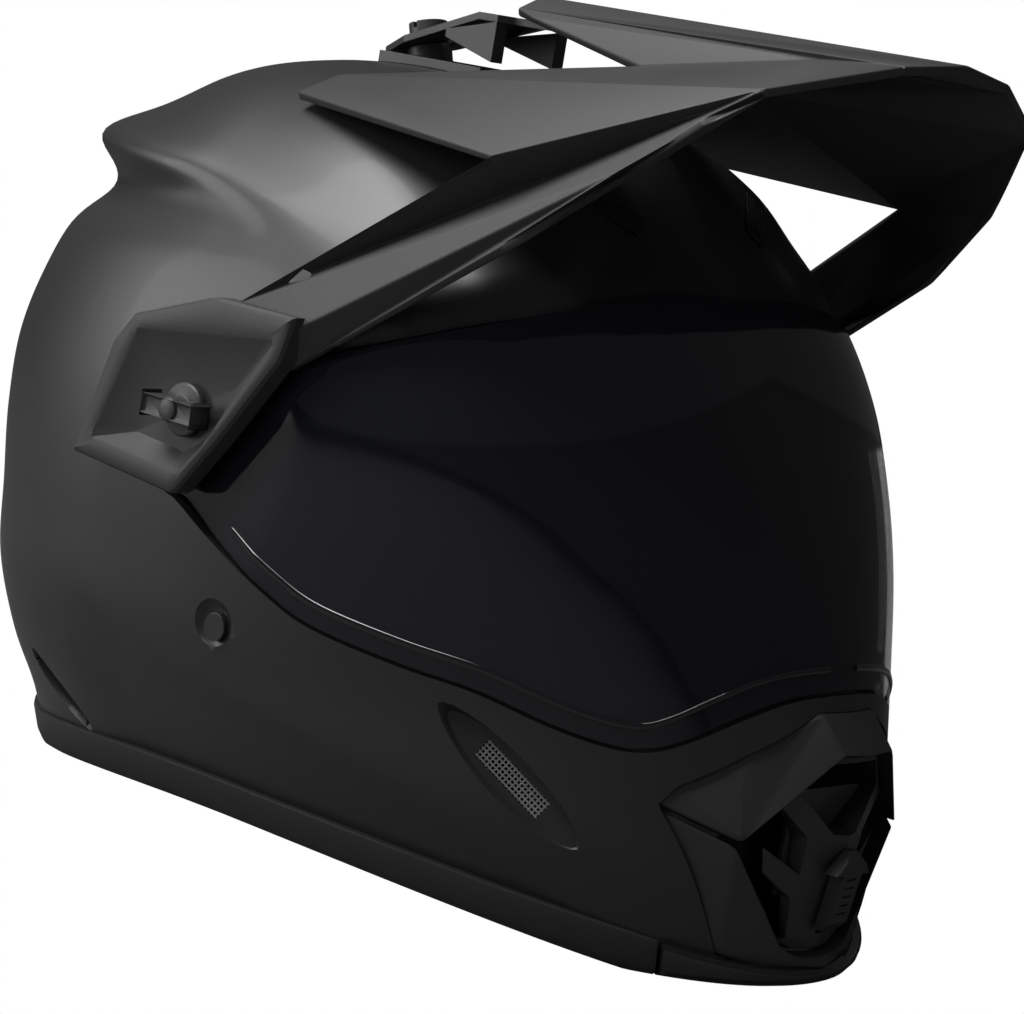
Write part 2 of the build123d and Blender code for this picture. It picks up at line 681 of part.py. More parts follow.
def faceted(shares, facets, scale, shift, wall=None, depth=None):
    """A folded sheet from named corners on one side and their mirror images.

    The sheet gets its wall square to its faces, or a straight depth backwards.
    """
    corners = {}
    for name, (x, y, z) in shares.items():
        place = Vector(x * scale[0], -y * scale[1], z * scale[2]) + shift
        corners[name] = place
        corners[name + " far"] = place if x == 0 else Vector(-place.X, place.Y, place.Z)
    names = {name: (name[:-4] if name.endswith(" far") and shares[name[:-4]][0] == 0 else name) for name in corners}
    triangles = []
    for facet in facets:
        near = [names[name] for name in facet]
        far = [names[name + " far"] for name in reversed(facet)]
        for loop in (near, far):
            triangles += [(loop[0], loop[i], loop[i + 1]) for i in range(1, len(loop) - 1)]
    sums = {name: Vector(0, 0, 0) for name in corners}
    normals = []
    for a, b, c in triangles:
        normal = (corners[b] - corners[a]).cross(corners[c] - corners[a])
        normals.append(normal)
        for name in (a, b, c):
            sums[name] = sums[name] + normal
    inner = {}
    for name, place in corners.items():
        if names[name] != name:
            continue
        if depth is not None:
            inner[name] = place + Vector(0, depth, 0)
        else:
            inner[name] = place - sums[name].normalized() * wall
    faces = []
    edges = {}
    for a, b, c in triangles:
        faces.append(Face(Wire.make_polygon([corners[a], corners[b], corners[c]])))
        faces.append(Face(Wire.make_polygon([inner[c], inner[b], inner[a]])))
        for edge in ((a, b), (b, c), (c, a)):
            edges[edge] = edges.get(edge, 0) + 1
    for a, b in edges:
        if (b, a) in edges:
            continue
        faces.append(Face(Wire.make_polygon([corners[b], corners[a], inner[a]])))
        faces.append(Face(Wire.make_polygon([corners[b], inner[a], inner[b]])))
    solid = Solid(Shell(faces))
    return solid.fix() if solid.volume > 0 else Solid(Shell([-face for face in faces])).fix()


def peak_side_plate(side):
    """The five-sided plate over one pivot, with its basin and its inner hub."""
    def outline(shares, scale=1.0):
        points = [(-reach * PEAK_REACH, rise * PEAK_RISE) for reach, rise in shares]
        middle_y = sum(p[0] for p in points) / len(points)
        middle_z = sum(p[1] for p in points) / len(points)
        return [(middle_y + (y - middle_y) * scale, middle_z + (z - middle_z) * scale) for y, z in points]

    def ring(points, x):
        return Wire.make_polygon([(side * x, y, PIVOT_HEIGHT + z) for y, z in points])

    bevel = (PLATE_OUT - PLATE_FLOOR) / 2
    body = Solid.make_loft([ring(outline(PLATE_SHARES), PLATE_IN), ring(outline(PLATE_SHARES), PLATE_OUT - bevel)],
                           ruled=True)
    cap = Solid.make_loft([ring(outline(PLATE_SHARES), PLATE_OUT - bevel),
                           ring(outline(PLATE_SHARES, PLATE_BEVEL_SHARE), PLATE_OUT)], ruled=True)
    basin = Solid.make_loft([ring(outline(BASIN_FLOOR_SHARES), PLATE_FLOOR),
                             ring(outline(BASIN_TOP_SHARES), PLATE_OUT + THIN)], ruled=True)
    return Part() + body + cap - basin


def make_peak():
    """The folded peak with its arms, side plates and pivot hubs, and the tail piece behind it."""
    scale = (PEAK_HALF_WIDTH, PEAK_REACH, PEAK_RISE)
    reach = SHELL_FRONT + CUT_OVERRUN
    half = faceted(PEAK_SHARES, PEAK_FACETS, scale, Vector(0, 0, PIVOT_HEIGHT), wall=PEAK_WALL)
    half &= box_between((0, -reach, 0), (reach, reach, 2 * SHELL_HEIGHT))
    half += largest(peak_side_plate(1) - skin(-PLATE_GAP, shaped=False))
    half -= pivot_disc(EAR_SWEEP_R, 0, SHIELD_EAR_OUT + FIT_GAP, 1)
    half += pivot_disc(PLATE_HUB_R, POCKET_FLOOR + HUB_RISE + THIN, PLATE_FLOOR - PLATE_GAP, 1)
    half -= pivot_disc(SCREW_R + RUN_GAP, 0, PLATE_OUT + CUT_OVERRUN, 1)
    half = largest(half)
    return {"peak": largest(half + mirrored(half)), "peak_tail_mount": make_tail()}


def tail_height(y):
    """Height of the tail deck's underside, flat under the spine and then along the way it slides."""
    slope = TAIL_SCREW_RISE - TAIL_SLOPE_SHARE * (y - TAIL_SCREW_BACK)
    return PIVOT_HEIGHT + min(slope, TAIL_FLAT_RISE)


def make_tail():
    """The slotted deck behind the peak with a skirt down each side."""
    right = [
        (TAIL_NECK_HALF, -TAIL_FRONT), (TAIL_NECK_HALF, -TAIL_NECK_FRONT),
        (TAIL_HALF_WIDTH, -TAIL_SHOULDER_FRONT), (TAIL_WAIST_HALF, TAIL_SCREW_BACK), (TAIL_TIP_HALF, TAIL_BACK),
    ]
    plan = make_face(Polyline(*right, *[(-x, y) for x, y in reversed(right)], close=True))
    column = extrude(plan, amount=2 * SHELL_HEIGHT)
    bend = TAIL_SCREW_BACK - (TAIL_FLAT_RISE - TAIL_SCREW_RISE) / TAIL_SLOPE_SHARE
    stations = (-TAIL_FRONT, bend, TAIL_BACK)
    lower = [(y, tail_height(y)) for y in stations]
    upper = [(y, z + TAIL_WALL) for y, z in reversed(lower)]
    deck = column & side_block(make_face(Polyline(*lower, *upper, close=True)))
    inner = extrude(offset(plan, amount=-TAIL_WALL), amount=2 * SHELL_HEIGHT)
    front, back = -TAIL_SHOULDER_FRONT, SKIRT_BACK
    corners = [(front, tail_height(front) - SKIRT_DROP), (back, tail_height(back) - TAIL_WALL),
               (back, tail_height(back) + THIN), (front, tail_height(front) + THIN)]
    skirts = (column - inner) & side_block(make_face(Polyline(*corners, close=True)))
    boss = box_between((-TAIL_BOSS_HALF, -TAIL_BOSS_FRONT, PIVOT_HEIGHT + TAIL_FLAT_RISE + THIN),
                       (TAIL_BOSS_HALF, -TAIL_BOSS_BACK, PIVOT_HEIGHT + TAIL_BOSS_RISE))
    slot = SlotOverall(2 * (TAIL_SLOT_TRAVEL + CROWN_SCREW_R), 2 * (CROWN_SCREW_R + RUN_GAP), rotation=90)
    tail = deck + skirts + boss - extrude(Pos(0, TAIL_SCREW_BACK, PIVOT_HEIGHT) * slot, amount=SHELL_HEIGHT)
    return largest(tail)


def crown_axis_plane(height):
    """A plane square to the tail deck at the crown screw, a distance over the deck's underside."""
    lean = Vector(0, TAIL_SLOPE_SHARE, 1).normalized()
    foot = Vector(0, TAIL_SCREW_BACK, PIVOT_HEIGHT + TAIL_SCREW_RISE)
    return Plane(foot + lean * height, x_dir=(1, 0, 0), z_dir=lean)


def make_crown_parts():
    """The bracket on the crown, its brass insert and the screw that holds the tail."""
    flange = box_between(
        (-BRACKET_HALF_WIDTH, BRACKET_FRONT, SHELL_HEIGHT - CUT_OVERRUN),
        (BRACKET_HALF_WIDTH, BRACKET_BACK, SHELL_HEIGHT + BRACKET_RISE),
    )
    post = Solid.make_cylinder(BRACKET_POST_R, CUT_OVERRUN, crown_axis_plane(-CUT_OVERRUN - DECK_PLAY))
    bracket = Part() + largest(flange + post - skin(-THIN))
    insert = Solid.make_cylinder(CROWN_INSERT_R, CROWN_INSERT_LENGTH, crown_axis_plane(-CROWN_INSERT_LENGTH - DECK_PLAY))
    hole = Solid.make_cylinder(CROWN_SCREW_R + RUN_GAP, CUT_OVERRUN, crown_axis_plane(-CUT_OVERRUN / 2))
    seat = Solid.make_cylinder(
        CROWN_INSERT_R + THIN, CROWN_INSERT_LENGTH + CUT_OVERRUN, crown_axis_plane(-CROWN_INSERT_LENGTH - DECK_PLAY - THIN))
    bracket = bracket - seat - hole
    shank_length = CROWN_INSERT_LENGTH + TAIL_WALL + 2 * DECK_PLAY
    shank = Solid.make_cylinder(CROWN_SCREW_R, shank_length, crown_axis_plane(-CROWN_INSERT_LENGTH))
    head = Solid.make_cylinder(CROWN_HEAD_R, CROWN_HEAD_RISE, crown_axis_plane(TAIL_WALL + DECK_PLAY))
    top = crown_axis_plane(TAIL_WALL + CROWN_HEAD_RISE)
    slot = extrude(top * Rectangle(2 * CROWN_HEAD_R, CROWN_COIN_SLOT), amount=-CROWN_HEAD_RISE / 3, both=True)
    screw = shank + head - slot
    return {
        "crown_bracket": largest(bracket),
        "crown_insert": insert - hole,
        "crown_screw": largest(screw),
    }


def make_pivot_parts():
    """Base plates, brass inserts and hand knobs on both sides."""
    parts = {}
    for side, word in ((-1, "right"), (1, "left")):
        plate = pivot_disc(BASE_PLATE_R, POCKET_FLOOR - BASE_PLATE_WALL, POCKET_FLOOR, side)
        plate += pivot_disc(HUB_R, POCKET_FLOOR, POCKET_FLOOR + HUB_RISE, side)
        plate -= pivot_disc(SCREW_R + RUN_GAP, 0, PLATE_OUT, side)
        insert_out = POCKET_FLOOR - BASE_PLATE_WALL - BASE_PLATE_GAP - THIN
        insert = pivot_disc(INSERT_R, insert_out - INSERT_LENGTH, insert_out, side)
        insert -= pivot_disc(SCREW_R + RUN_GAP, 0, PLATE_OUT, side)
        parts[f"pivot_base_{word}"] = plate
        parts[f"pivot_insert_{word}"] = insert
        parts[f"side_knob_{word}"] = make_knob(side)
    return parts


def make_knob(side):
    """A screw with a round head and a grip bar across it."""
    face = PLATE_FLOOR + THIN
    disc = pivot_disc(KNOB_R, face, face + KNOB_DISC, side)
    disc = chamfer(disc.edges().filter_by(GeomType.CIRCLE).group_by(Axis.X)[-1 if side > 0 else 0], KNOB_EDGE)
    bar_plane = Plane((side * (face + KNOB_DISC), 0, PIVOT_HEIGHT), x_dir=(0, 1, 0), z_dir=(side, 0, 0))
    bar = extrude(bar_plane * Rectangle(KNOB_BAR_LENGTH, KNOB_BAR_WIDTH), amount=KNOB_BAR_RISE)
    bar = chamfer(bar.edges(), KNOB_EDGE)
    hub = pivot_disc(KNOB_HUB_R, face + KNOB_DISC, face + KNOB_DISC + KNOB_HUB_RISE, side)
    shank_in = POCKET_FLOOR - BASE_PLATE_WALL - INSERT_LENGTH
    shank = pivot_disc(SCREW_R, shank_in, face + KNOB_DISC, side)
    return largest(disc + bar + hub + shank)


def vent_scale():
    """The mouth vent's own size along X, Y and Z."""
    return (VENT_HALF_WIDTH, VENT_REACH, VENT_HEIGHT)


def front_block(shares, start, end, side=1):
    """An outline seen from the front, pushed between two reaches."""
    points = [(side * x * VENT_HALF_WIDTH, z * VENT_HEIGHT) for x, z in shares]
    plane = Plane((0, -start, 0), x_dir=(1, 0, 0), z_dir=(0, -1, 0))
    return extrude(plane * make_face(Polyline(*points, close=True)), amount=end - start)


def make_mouth_vent():
    """Upper cowl, lower frame, grille, slider and shutter at the chin."""
    seat = skin(VENT_SEAT, shaped=False)
    reach = SHELL_FRONT + CUT_OVERRUN
    cowl = faceted(COWL_SHARES, COWL_FACETS, vent_scale(), Vector(0, 0, 0), depth=VENT_DEPTH) - seat
    frame = faceted(FRAME_SHARES, FRAME_FACETS, vent_scale(), Vector(0, 0, 0), depth=VENT_DEPTH) - seat
    grille = faceted(GRILLE_SHARES, GRILLE_FACETS, vent_scale(), Vector(0, 0, 0), depth=VENT_DEPTH)
    grille &= box_between((-VENT_HALF_WIDTH, -reach, 0), (VENT_HALF_WIDTH, -GRILLE_BACK, VENT_HEIGHT))
    for shares in (HEX_HOLE_SHARES, UPPER_HOLE_SHARES, LOWER_HOLE_SHARES):
        for side in (-1, 1):
            grille -= front_block(shares, 0, reach, side)
    slot_low = SLIDER_LOW + SLIDER_TONGUE_RISE - SLIDER_TRAVEL
    slot_high = SLIDER_LOW + 2 * SLIDER_TONGUE_RISE
    slot_half = SLIDER_TONGUE_HALF + SLIDER_GAP
    grille -= box_between((-slot_half, -reach, slot_low - THIN), (slot_half, 0, slot_high + THIN))
    return {
        "mouth_vent_cowl": largest(cowl),
        "mouth_vent_frame": largest(frame),
        "mouth_vent_grille": largest(grille),
        "mouth_vent_slider": make_slider(),
        "mouth_vent_shutter": make_shutter(),
    }


def stem_reach(z):
    """How far forwards the grille's middle ridge stands at a height."""
    top = GRILLE_SHARES["stem_top"]
    base = GRILLE_SHARES["base_mid"]
    share = (z / VENT_HEIGHT - base[2]) / (top[2] - base[2])
    return VENT_REACH * (base[1] + (top[1] - base[1]) * share)


def make_slider():
    """The ribbed arrow that opens the vent, with a tongue through the grille."""
    gap = SLIDER_GAP

    def at(z, proud):
        return (-stem_reach(z) - gap - proud, z)

    tip = SLIDER_HIGH + SLIDER_HEAD_RISE / 2
    profile = [at(SLIDER_LOW, 0), at(tip, 0), at(tip, SLIDER_PROUD / 2), at(SLIDER_HIGH, SLIDER_PROUD),
               at(SLIDER_LOW + SLIDER_RIB_PITCH, SLIDER_PROUD), at(SLIDER_LOW, SLIDER_PROUD / 2)]
    body = side_block(make_face(Polyline(*profile, close=True)))
    head_low = SLIDER_HIGH - SLIDER_HEAD_RISE / 2
    plan = Polyline(
        (-SLIDER_HALF_WIDTH, SLIDER_LOW), (SLIDER_HALF_WIDTH, SLIDER_LOW),
        (SLIDER_HALF_WIDTH, head_low), (SLIDER_HEAD_HALF, head_low), (0, tip + SLIDER_HEAD_RISE / 4),
        (-SLIDER_HEAD_HALF, head_low), (-SLIDER_HALF_WIDTH, head_low), close=True,
    )
    front = Plane((0, 0, 0), x_dir=(1, 0, 0), z_dir=(0, -1, 0))
    body &= extrude(front * make_face(plan), amount=SHELL_FRONT + CUT_OVERRUN)
    for rib in range(SLIDER_RIBS):
        z = SLIDER_LOW + SLIDER_RIB_PITCH * (rib + 2)
        y = -stem_reach(z) - gap - SLIDER_PROUD
        cut = SLIDER_RIB_CUT
        body -= box_between(
            (-SLIDER_HALF_WIDTH / 2, y - CUT_OVERRUN, z), (SLIDER_HALF_WIDTH / 2, y + cut, z + cut))
    back = -GRILLE_BACK + SHUTTER_GAP + SHUTTER_WALL
    low = SLIDER_LOW + SLIDER_TONGUE_RISE
    tongue = box_between(
        (-SLIDER_TONGUE_HALF, -stem_reach(low) - gap - SLIDER_PROUD / 2, low),
        (SLIDER_TONGUE_HALF, back, low + SLIDER_TONGUE_RISE),
    )
    return largest(body + tongue)


def make_shutter():
    """The plate behind the grille that the slider carries."""
    front = -GRILLE_BACK + SHUTTER_GAP
    plate = box_between(
        (-SHUTTER_HALF_WIDTH, front, SHUTTER_LOW), (SHUTTER_HALF_WIDTH, front + SHUTTER_WALL, SHUTTER_HIGH))
    low = SLIDER_LOW + SLIDER_TONGUE_RISE
    half = SLIDER_TONGUE_HALF
    plate -= box_between((-half, front - THIN, low), (half, front + SHUTTER_WALL + THIN, low + SLIDER_TONGUE_RISE))
    return plate


def make_shell(room):
    """The outer shell with its eye port, pivot pockets, vents and holes."""
    shell = skin() - skin(SHELL_WALL)
    start = POCKET_FLOOR - POCKET_WALL
    boss = pivot_disc(POCKET_R + POCKET_RING, start, PLATE_OUT, 1)
    boss += pivot_disc(INSERT_BOSS_R, start - INSERT_LENGTH, start, 1)
    boss &= skin(SHELL_WALL / 2, shaped=False)
    shell += largest(boss)
    shell += mirrored(largest(boss))
    shell -= side_block(shield_sketch(SHIELD_MARGIN)) - skin(SHIELD_SEAT, shaped=False, below=CUT_OVERRUN)
    shell -= room
    shell -= side_block(port_sketch(PORT_MARGIN))
    for side in (-1, 1):
        shell -= side_pocket_face(side)
        seat = POCKET_FLOOR - BASE_PLATE_WALL - BASE_PLATE_GAP
        shell -= pivot_disc(BASE_PLATE_R + BASE_PLATE_GAP, seat, PLATE_OUT, side)
        shell -= pivot_disc(INSERT_R + BASE_PLATE_GAP, seat - INSERT_LENGTH - THIN, PLATE_OUT, side)
        rivet_x = skin_side(RIVET_BACK, RIVET_HEIGHT)
        plane = Plane((0, RIVET_BACK, RIVET_HEIGHT), x_dir=(0, 1, 0), z_dir=(side, 0, 0))
        shell -= Solid.make_cylinder(RIVET_R + THIN, SHELL_HALF_WIDTH, plane)
        shell -= Solid.make_cylinder(DIMPLE_R, CUT_OVERRUN, plane.offset(rivet_x - DIMPLE_DEPTH))
    shell -= under_seam(TRIM_LIP)
    for _, plane, recess, insert in vent_planes():
        for cut in vent_cut(plane, recess[0], recess[1], insert[0], insert[1]):
            shell -= cut
    shell -= vent_seat_block() - skin(VENT_SEAT + FIT_GAP, shaped=False)
    shell -= duct_block()
    hole = Solid.make_cylinder(CROWN_INSERT_R + THIN, CUT_OVERRUN, crown_axis_plane(-CUT_OVERRUN))
    shell -= hole
    return {"outer_shell": largest(shell)}


def duct_block():
    """The air duct behind the grille, with the grille's outline and a margin."""
    right = [GRILLE_SHARES[name] for name in ("base", "low", "side", "top")]
    corners = [(x * VENT_HALF_WIDTH, z * VENT_HEIGHT) for x, _, z in right]
    corners += [(-x, z) for x, z in reversed(corners)]
    face = offset(make_face(Polyline(*corners, close=True)), amount=DUCT_MARGIN, kind=Kind.INTERSECTION)
    front = Plane((0, -CHEEK_FRONT, 0), x_dir=(1, 0, 0), z_dir=(0, -1, 0))
    return extrude(front * face, amount=SHELL_FRONT)


def vent_seat_block():
    """The outline of the cowl and frame seen from the front, with a fitting gap."""
    def at(name, table):
        x, _, z = table[name]
        return (x * VENT_HALF_WIDTH, z * VENT_HEIGHT)

    right = [at("low", FRAME_SHARES), at("low_side", FRAME_SHARES), at("side", FRAME_SHARES),
             at("side", COWL_SHARES), at("side_top", COWL_SHARES), at("brow", COWL_SHARES), at("top", COWL_SHARES)]
    left = [(-x, z) for x, z in reversed(right)]
    face = offset(make_face(Polyline(*(right + left), close=True)), amount=FIT_GAP)
    front = Plane((0, -CHEEK_FRONT, 0), x_dir=(1, 0, 0), z_dir=(0, -1, 0))
    return extrude(front * face, amount=SHELL_FRONT)


def make_rim():
    """The rubber trim round the base and the glossy bumper under the chin."""
    under = under_seam()
    rim = (skin(-TRIM_PROUD, shaped=False) - skin(TRIM_DEPTH, shaped=False, below=CUT_OVERRUN)) & under
    rim -= under_arc(0, 0, 0, 0)
    groove = skin(-THIN, shaped=False) - skin(SHELL_WALL + THIN, shaped=False, below=CUT_OVERRUN)
    groove -= under_seam(TRIM_LIP + THIN)
    rim -= groove
    reach = SHELL_FRONT + CUT_OVERRUN
    side = SHELL_HALF_WIDTH + CUT_OVERRUN
    rim -= box_between((-side, -reach, -CUT_OVERRUN), (side, -BUMPER_START, SHELL_HEIGHT))
    bumper = (skin(-BUMPER_PROUD, shaped=False) - skin(TRIM_DEPTH, shaped=False, below=CUT_OVERRUN)) & under
    bumper -= under_arc(0, 0, 0, 0)
    bumper = bumper - groove - vent_seat_block()
    bumper &= box_between((-side, -reach, -CUT_OVERRUN), (side, -BUMPER_START - FIT_GAP, SHELL_HEIGHT))
    return {"base_trim": largest(rim), "chin_bumper": largest(bumper)}


def make_seal():
    """The rubber seal round the eye port."""
    ring = side_block(port_sketch(PORT_MARGIN + FIT_GAP)) - side_block(port_sketch(PORT_MARGIN + SEAL_WIDTH))
    low = SHIELD_SEAT
    wall = skin(low, shaped=False) - skin(low + SEAL_DEPTH, shaped=False, below=CUT_OVERRUN)
    return {"eye_port_seal": largest(wall & ring)}


def cavity(extra):
    """The head space, drawn in further by an extra amount."""
    return skin(SHELL_WALL + EPS_INSET + extra, SHELL_WALL + EPS_INSET_BASE + extra, shaped=False, below=CUT_OVERRUN)


def make_liners():
    """Foam liners, the comfort liner, the cheek pads and the neck roll."""
    side = SHELL_HALF_WIDTH + CUT_OVERRUN
    reach = SHELL_FRONT + CUT_OVERRUN
    top = SHELL_HEIGHT + CUT_OVERRUN
    foam = skin(SHELL_WALL + FIT_GAP) - cavity(0)
    foam -= side_block(port_sketch(PORT_MARGIN - EPS_GAP))
    foam -= under_seam(-EPS_GAP)
    for hand in (-1, 1):
        start = POCKET_FLOOR - POCKET_WALL
        foam -= pivot_disc(POCKET_R + POCKET_RING + EPS_GAP, start - EPS_GAP, side, hand)
        foam -= pivot_disc(INSERT_BOSS_R + EPS_GAP, start - INSERT_LENGTH - EPS_GAP, side, hand)
    recesses = foam_recesses()
    for recess in recesses:
        foam -= recess
    lower_front = box_between((-side, -reach, -CUT_OVERRUN), (side, CHEEK_REAR, CHEEK_TOP))
    crown = foam - lower_front - box_between((-side, CHEEK_REAR, -CUT_OVERRUN), (side, reach, REAR_EPS_LOW))
    chin = foam & box_between((-side, -reach, 0), (side, -CHEEK_FRONT, CHEEK_TOP - EPS_GAP))
    chin -= duct_block()
    parts = {"foam_crown_liner": largest(crown), "foam_chin_liner": largest(chin)}
    space = cavity(EPS_GAP)
    comfort = space & box_between((-side, -reach, COMFORT_LOW), (side, reach, top))
    comfort = comfort - cavity(COMFORT_WALL) - side_block(port_sketch(PORT_MARGIN - EPS_GAP))
    parts["comfort_liner"] = largest(comfort)
    pad_space = cavity(CHEEK_PAD_WALL)
    channel_low = -CUT_OVERRUN
    for hand, word in ((-1, "right"), (1, "left")):
        inner, outer = sorted((0, hand * side))
        block = box_between((inner, EPS_GAP - CHEEK_FRONT, channel_low), (outer, CHEEK_REAR - EPS_GAP, CHEEK_TOP - EPS_GAP))
        corners = [(CHANNEL_IN, CHEEK_TOP), (CHANNEL_IN, ANCHOR_SLOT_HIGH), (CHANNEL_MID, CHANNEL_BEND),
                   (CHANNEL_LOW, CHANNEL_FOOT), (CHANNEL_LOW, channel_low), (side, channel_low), (side, CHEEK_TOP)]
        outline = make_face(Polyline(*[(hand * x, z) for x, z in corners], close=True))
        plane = Plane((0, RIVET_BACK, 0), x_dir=(1, 0, 0), z_dir=(0, -1, 0))
        channel = extrude(plane * outline, amount=CHANNEL_HALF, both=True)
        parts[f"foam_cheek_block_{word}"] = largest((foam & block) - channel)
        pad_box = box_between((inner, EPS_GAP - CHEEK_FRONT, CHEEK_PAD_LOW), (outer, CHEEK_REAR, CHEEK_TOP - EPS_GAP))
        parts[f"cheek_pad_{word}"] = largest((space & pad_box) - pad_space)
    roll = skin(SHELL_WALL + FIT_GAP, shaped=False)
    roll &= box_between((-side, CHEEK_REAR + EPS_GAP, NECK_ROLL_LOW), (side, reach, NECK_ROLL_HIGH))
    roll = roll - skin(SHELL_WALL + NECK_ROLL_WALL, shaped=False, below=CUT_OVERRUN)
    roll -= under_seam(-EPS_GAP)
    for recess in recesses:
        roll -= recess
    parts["neck_roll"] = largest(roll)
    return parts


def band(points, wall, width):
    """A flat strap along a path seen from the front."""
    path = FilletPolyline(*points, radius=STRAP_BEND)
    face = trace(path, line_width=wall)
    plane = Plane((0, RIVET_BACK, 0), x_dir=(1, 0, 0), z_dir=(0, -1, 0))
    return extrude(plane * face, amount=width / 2, both=True)


def strap_path(side):
    """The strap's way from its anchor down and in under the chin."""
    anchor_x = ANCHOR_OUT - ANCHOR_WALL - STRAP_WALL
    start = ANCHOR_SLOT_LOW
    return [(side * anchor_x, start), (side * STRAP_DROP_IN, STRAP_DROP_LOW), (side * STRAP_TURN_IN, STRAP_HIGH)]


def make_ring(bar_x, height):
    """A D-shaped wire ring that turns on its straight bar."""
    half = RING_BAR / 2 - RING_WIRE_R
    y = RIVET_BACK
    turn_x = bar_x - RING_SIDE
    corners = [(bar_x, y - half), (bar_x, y + half), (turn_x, y + half), (turn_x, y - half)]
    corners = [(x, place, height) for x, place in corners]
    bow = ThreePointArc(corners[2], (bar_x - RING_REACH, y, height), corners[3])
    ring = Part()
    for edge in (Line(corners[0], corners[1]), Line(corners[1], corners[2]), bow, Line(corners[3], corners[0])):
        plane = Plane(edge @ 0, z_dir=edge % 0)
        ring += sweep(plane * Circle(RING_WIRE_R), path=edge)
    for corner in corners:
        ring += Pos(*corner) * Sphere(RING_WIRE_R)
    return largest(ring)


def make_strap():
    """Anchors, rivets, webbing, rings, sleeves and the snap of the chin strap."""
    parts = {}
    rivets = []
    for side, word in ((-1, "right"), (1, "left")):
        plane = Plane((0, RIVET_BACK, RIVET_HEIGHT), x_dir=(0, 1, 0), z_dir=(side, 0, 0))
        head_x = skin_side(RIVET_BACK, RIVET_HEIGHT) - DIMPLE_DEPTH + THIN
        tail_x = ANCHOR_OUT - ANCHOR_WALL - RIVET_HEAD - THIN
        rivet = Solid.make_cylinder(RIVET_R, head_x - tail_x, plane.offset(tail_x))
        rivet += Solid.make_cylinder(RIVET_HEAD_R, RIVET_HEAD, plane.offset(head_x))
        rivet += Solid.make_cylinder(RIVET_HEAD_R, RIVET_HEAD, plane.offset(tail_x))
        rivets.append(largest(rivet))
        low_x, high_x = sorted((side * (ANCHOR_OUT - ANCHOR_WALL), side * ANCHOR_OUT))
        half = ANCHOR_HALF_WIDTH
        plate = box_between((low_x, RIVET_BACK - half, ANCHOR_LOW), (high_x, RIVET_BACK + half, ANCHOR_TOP))
        slot_half = STRAP_WIDTH / 2 + THIN
        slot_out = SHELL_HALF_WIDTH
        plate -= box_between((-slot_out, RIVET_BACK - slot_half, ANCHOR_SLOT_LOW),
                             (slot_out, RIVET_BACK + slot_half, ANCHOR_SLOT_HIGH))
        plate -= Solid.make_cylinder(RIVET_R + THIN, SHELL_HALF_WIDTH, plane)
        parts[f"strap_anchor_{word}"] = plate
        path = strap_path(side)
        sleeve_path = path[1:] + [(side * (STRAP_TURN_IN - SLEEVE_WALL), STRAP_HIGH)]
        sleeve = band(sleeve_path, SLEEVE_WALL, SLEEVE_WIDTH)
        sleeve -= band(path + [(0, STRAP_HIGH)], STRAP_WALL + 2 * THIN, STRAP_WIDTH + 2 * THIN)
        parts[f"strap_sleeve_{word}"] = largest(sleeve)
    parts["strap_rivets"] = Compound(rivets)
    ring_side = strap_path(1) + [(RING_HIGH_IN + LOOP_R / 2, STRAP_HIGH)]
    left = band(ring_side, STRAP_WALL, STRAP_WIDTH)
    for bar_x, height in ((RING_LOW_IN, RING_LOW), (RING_HIGH_IN, RING_HIGH)):
        plane = Plane((bar_x, RIVET_BACK, height), x_dir=(1, 0, 0), z_dir=(0, 1, 0))
        half = RINGS_LOOP_LENGTH / 2 - RING_WIRE_R
        left += Solid.make_cylinder(LOOP_R, 2 * half, plane.offset(-half))
    for bar_x, height in ((RING_LOW_IN, RING_LOW), (RING_HIGH_IN, RING_HIGH)):
        plane = Plane((bar_x, RIVET_BACK, height), x_dir=(1, 0, 0), z_dir=(0, 1, 0))
        left -= Solid.make_cylinder(RING_WIRE_R + RUN_GAP, RING_BAR, plane.offset(-RING_BAR / 2))
    parts["chin_strap_left"] = largest(left)
    free_side = strap_path(-1) + [(FOLD_IN, STRAP_HIGH), (FOLD_IN, STRAP_LOW), (TAIL_END, STRAP_LOW)]
    parts["chin_strap_right"] = largest(band(free_side, STRAP_WALL, STRAP_WIDTH))
    parts["d_ring_lower"] = make_ring(RING_LOW_IN, RING_LOW)
    parts["d_ring_upper"] = make_ring(RING_HIGH_IN, RING_HIGH)
    snap_z = STRAP_LOW + STRAP_WALL / 2 + THIN
    snap_plane = Plane((TAIL_END + SNAP_R + STRAP_BEND, RIVET_BACK, snap_z), z_dir=(0, 0, 1))
    parts["strap_snap"] = Solid.make_cylinder(SNAP_R, SNAP_RISE, snap_plane)
    return parts


def build():
    """Every piece of the helmet by name, with the origin under the middle of it all."""
    parts = make_shield()
    room = sweep_room(parts["shield_lens"])
    parts.update(make_shell(room))
    for maker in (make_liners, make_rim, make_seal, make_pivot_parts,
                  make_peak, make_crown_parts, make_mouth_vent, make_strap):
        parts.update(maker())
    for name, plane, _, insert in vent_planes():
        parts[name] = largest(mesh_insert(plane, insert[0] - 2 * THIN, insert[1] - 2 * THIN) - room)
    box = Compound([shape for part in parts.values() for shape in part.solids()]).bounding_box()
    shift = Location((-box.center().X, -box.center().Y, -box.min.Z))
    return {name: part.moved(shift) for name, part in parts.items()}, shift


def main():
    """Write one file per piece and print where the pivots ended up."""
    os.makedirs("parts", exist_ok=True)
    parts, shift = build()
    for name, part in parts.items():
        export_step(part, f"parts/{name}.step")
    print("pieces", len(parts), "shift", [round(value, 4) for value in tuple(shift.position)])


if __name__ == "__main__":
    main()
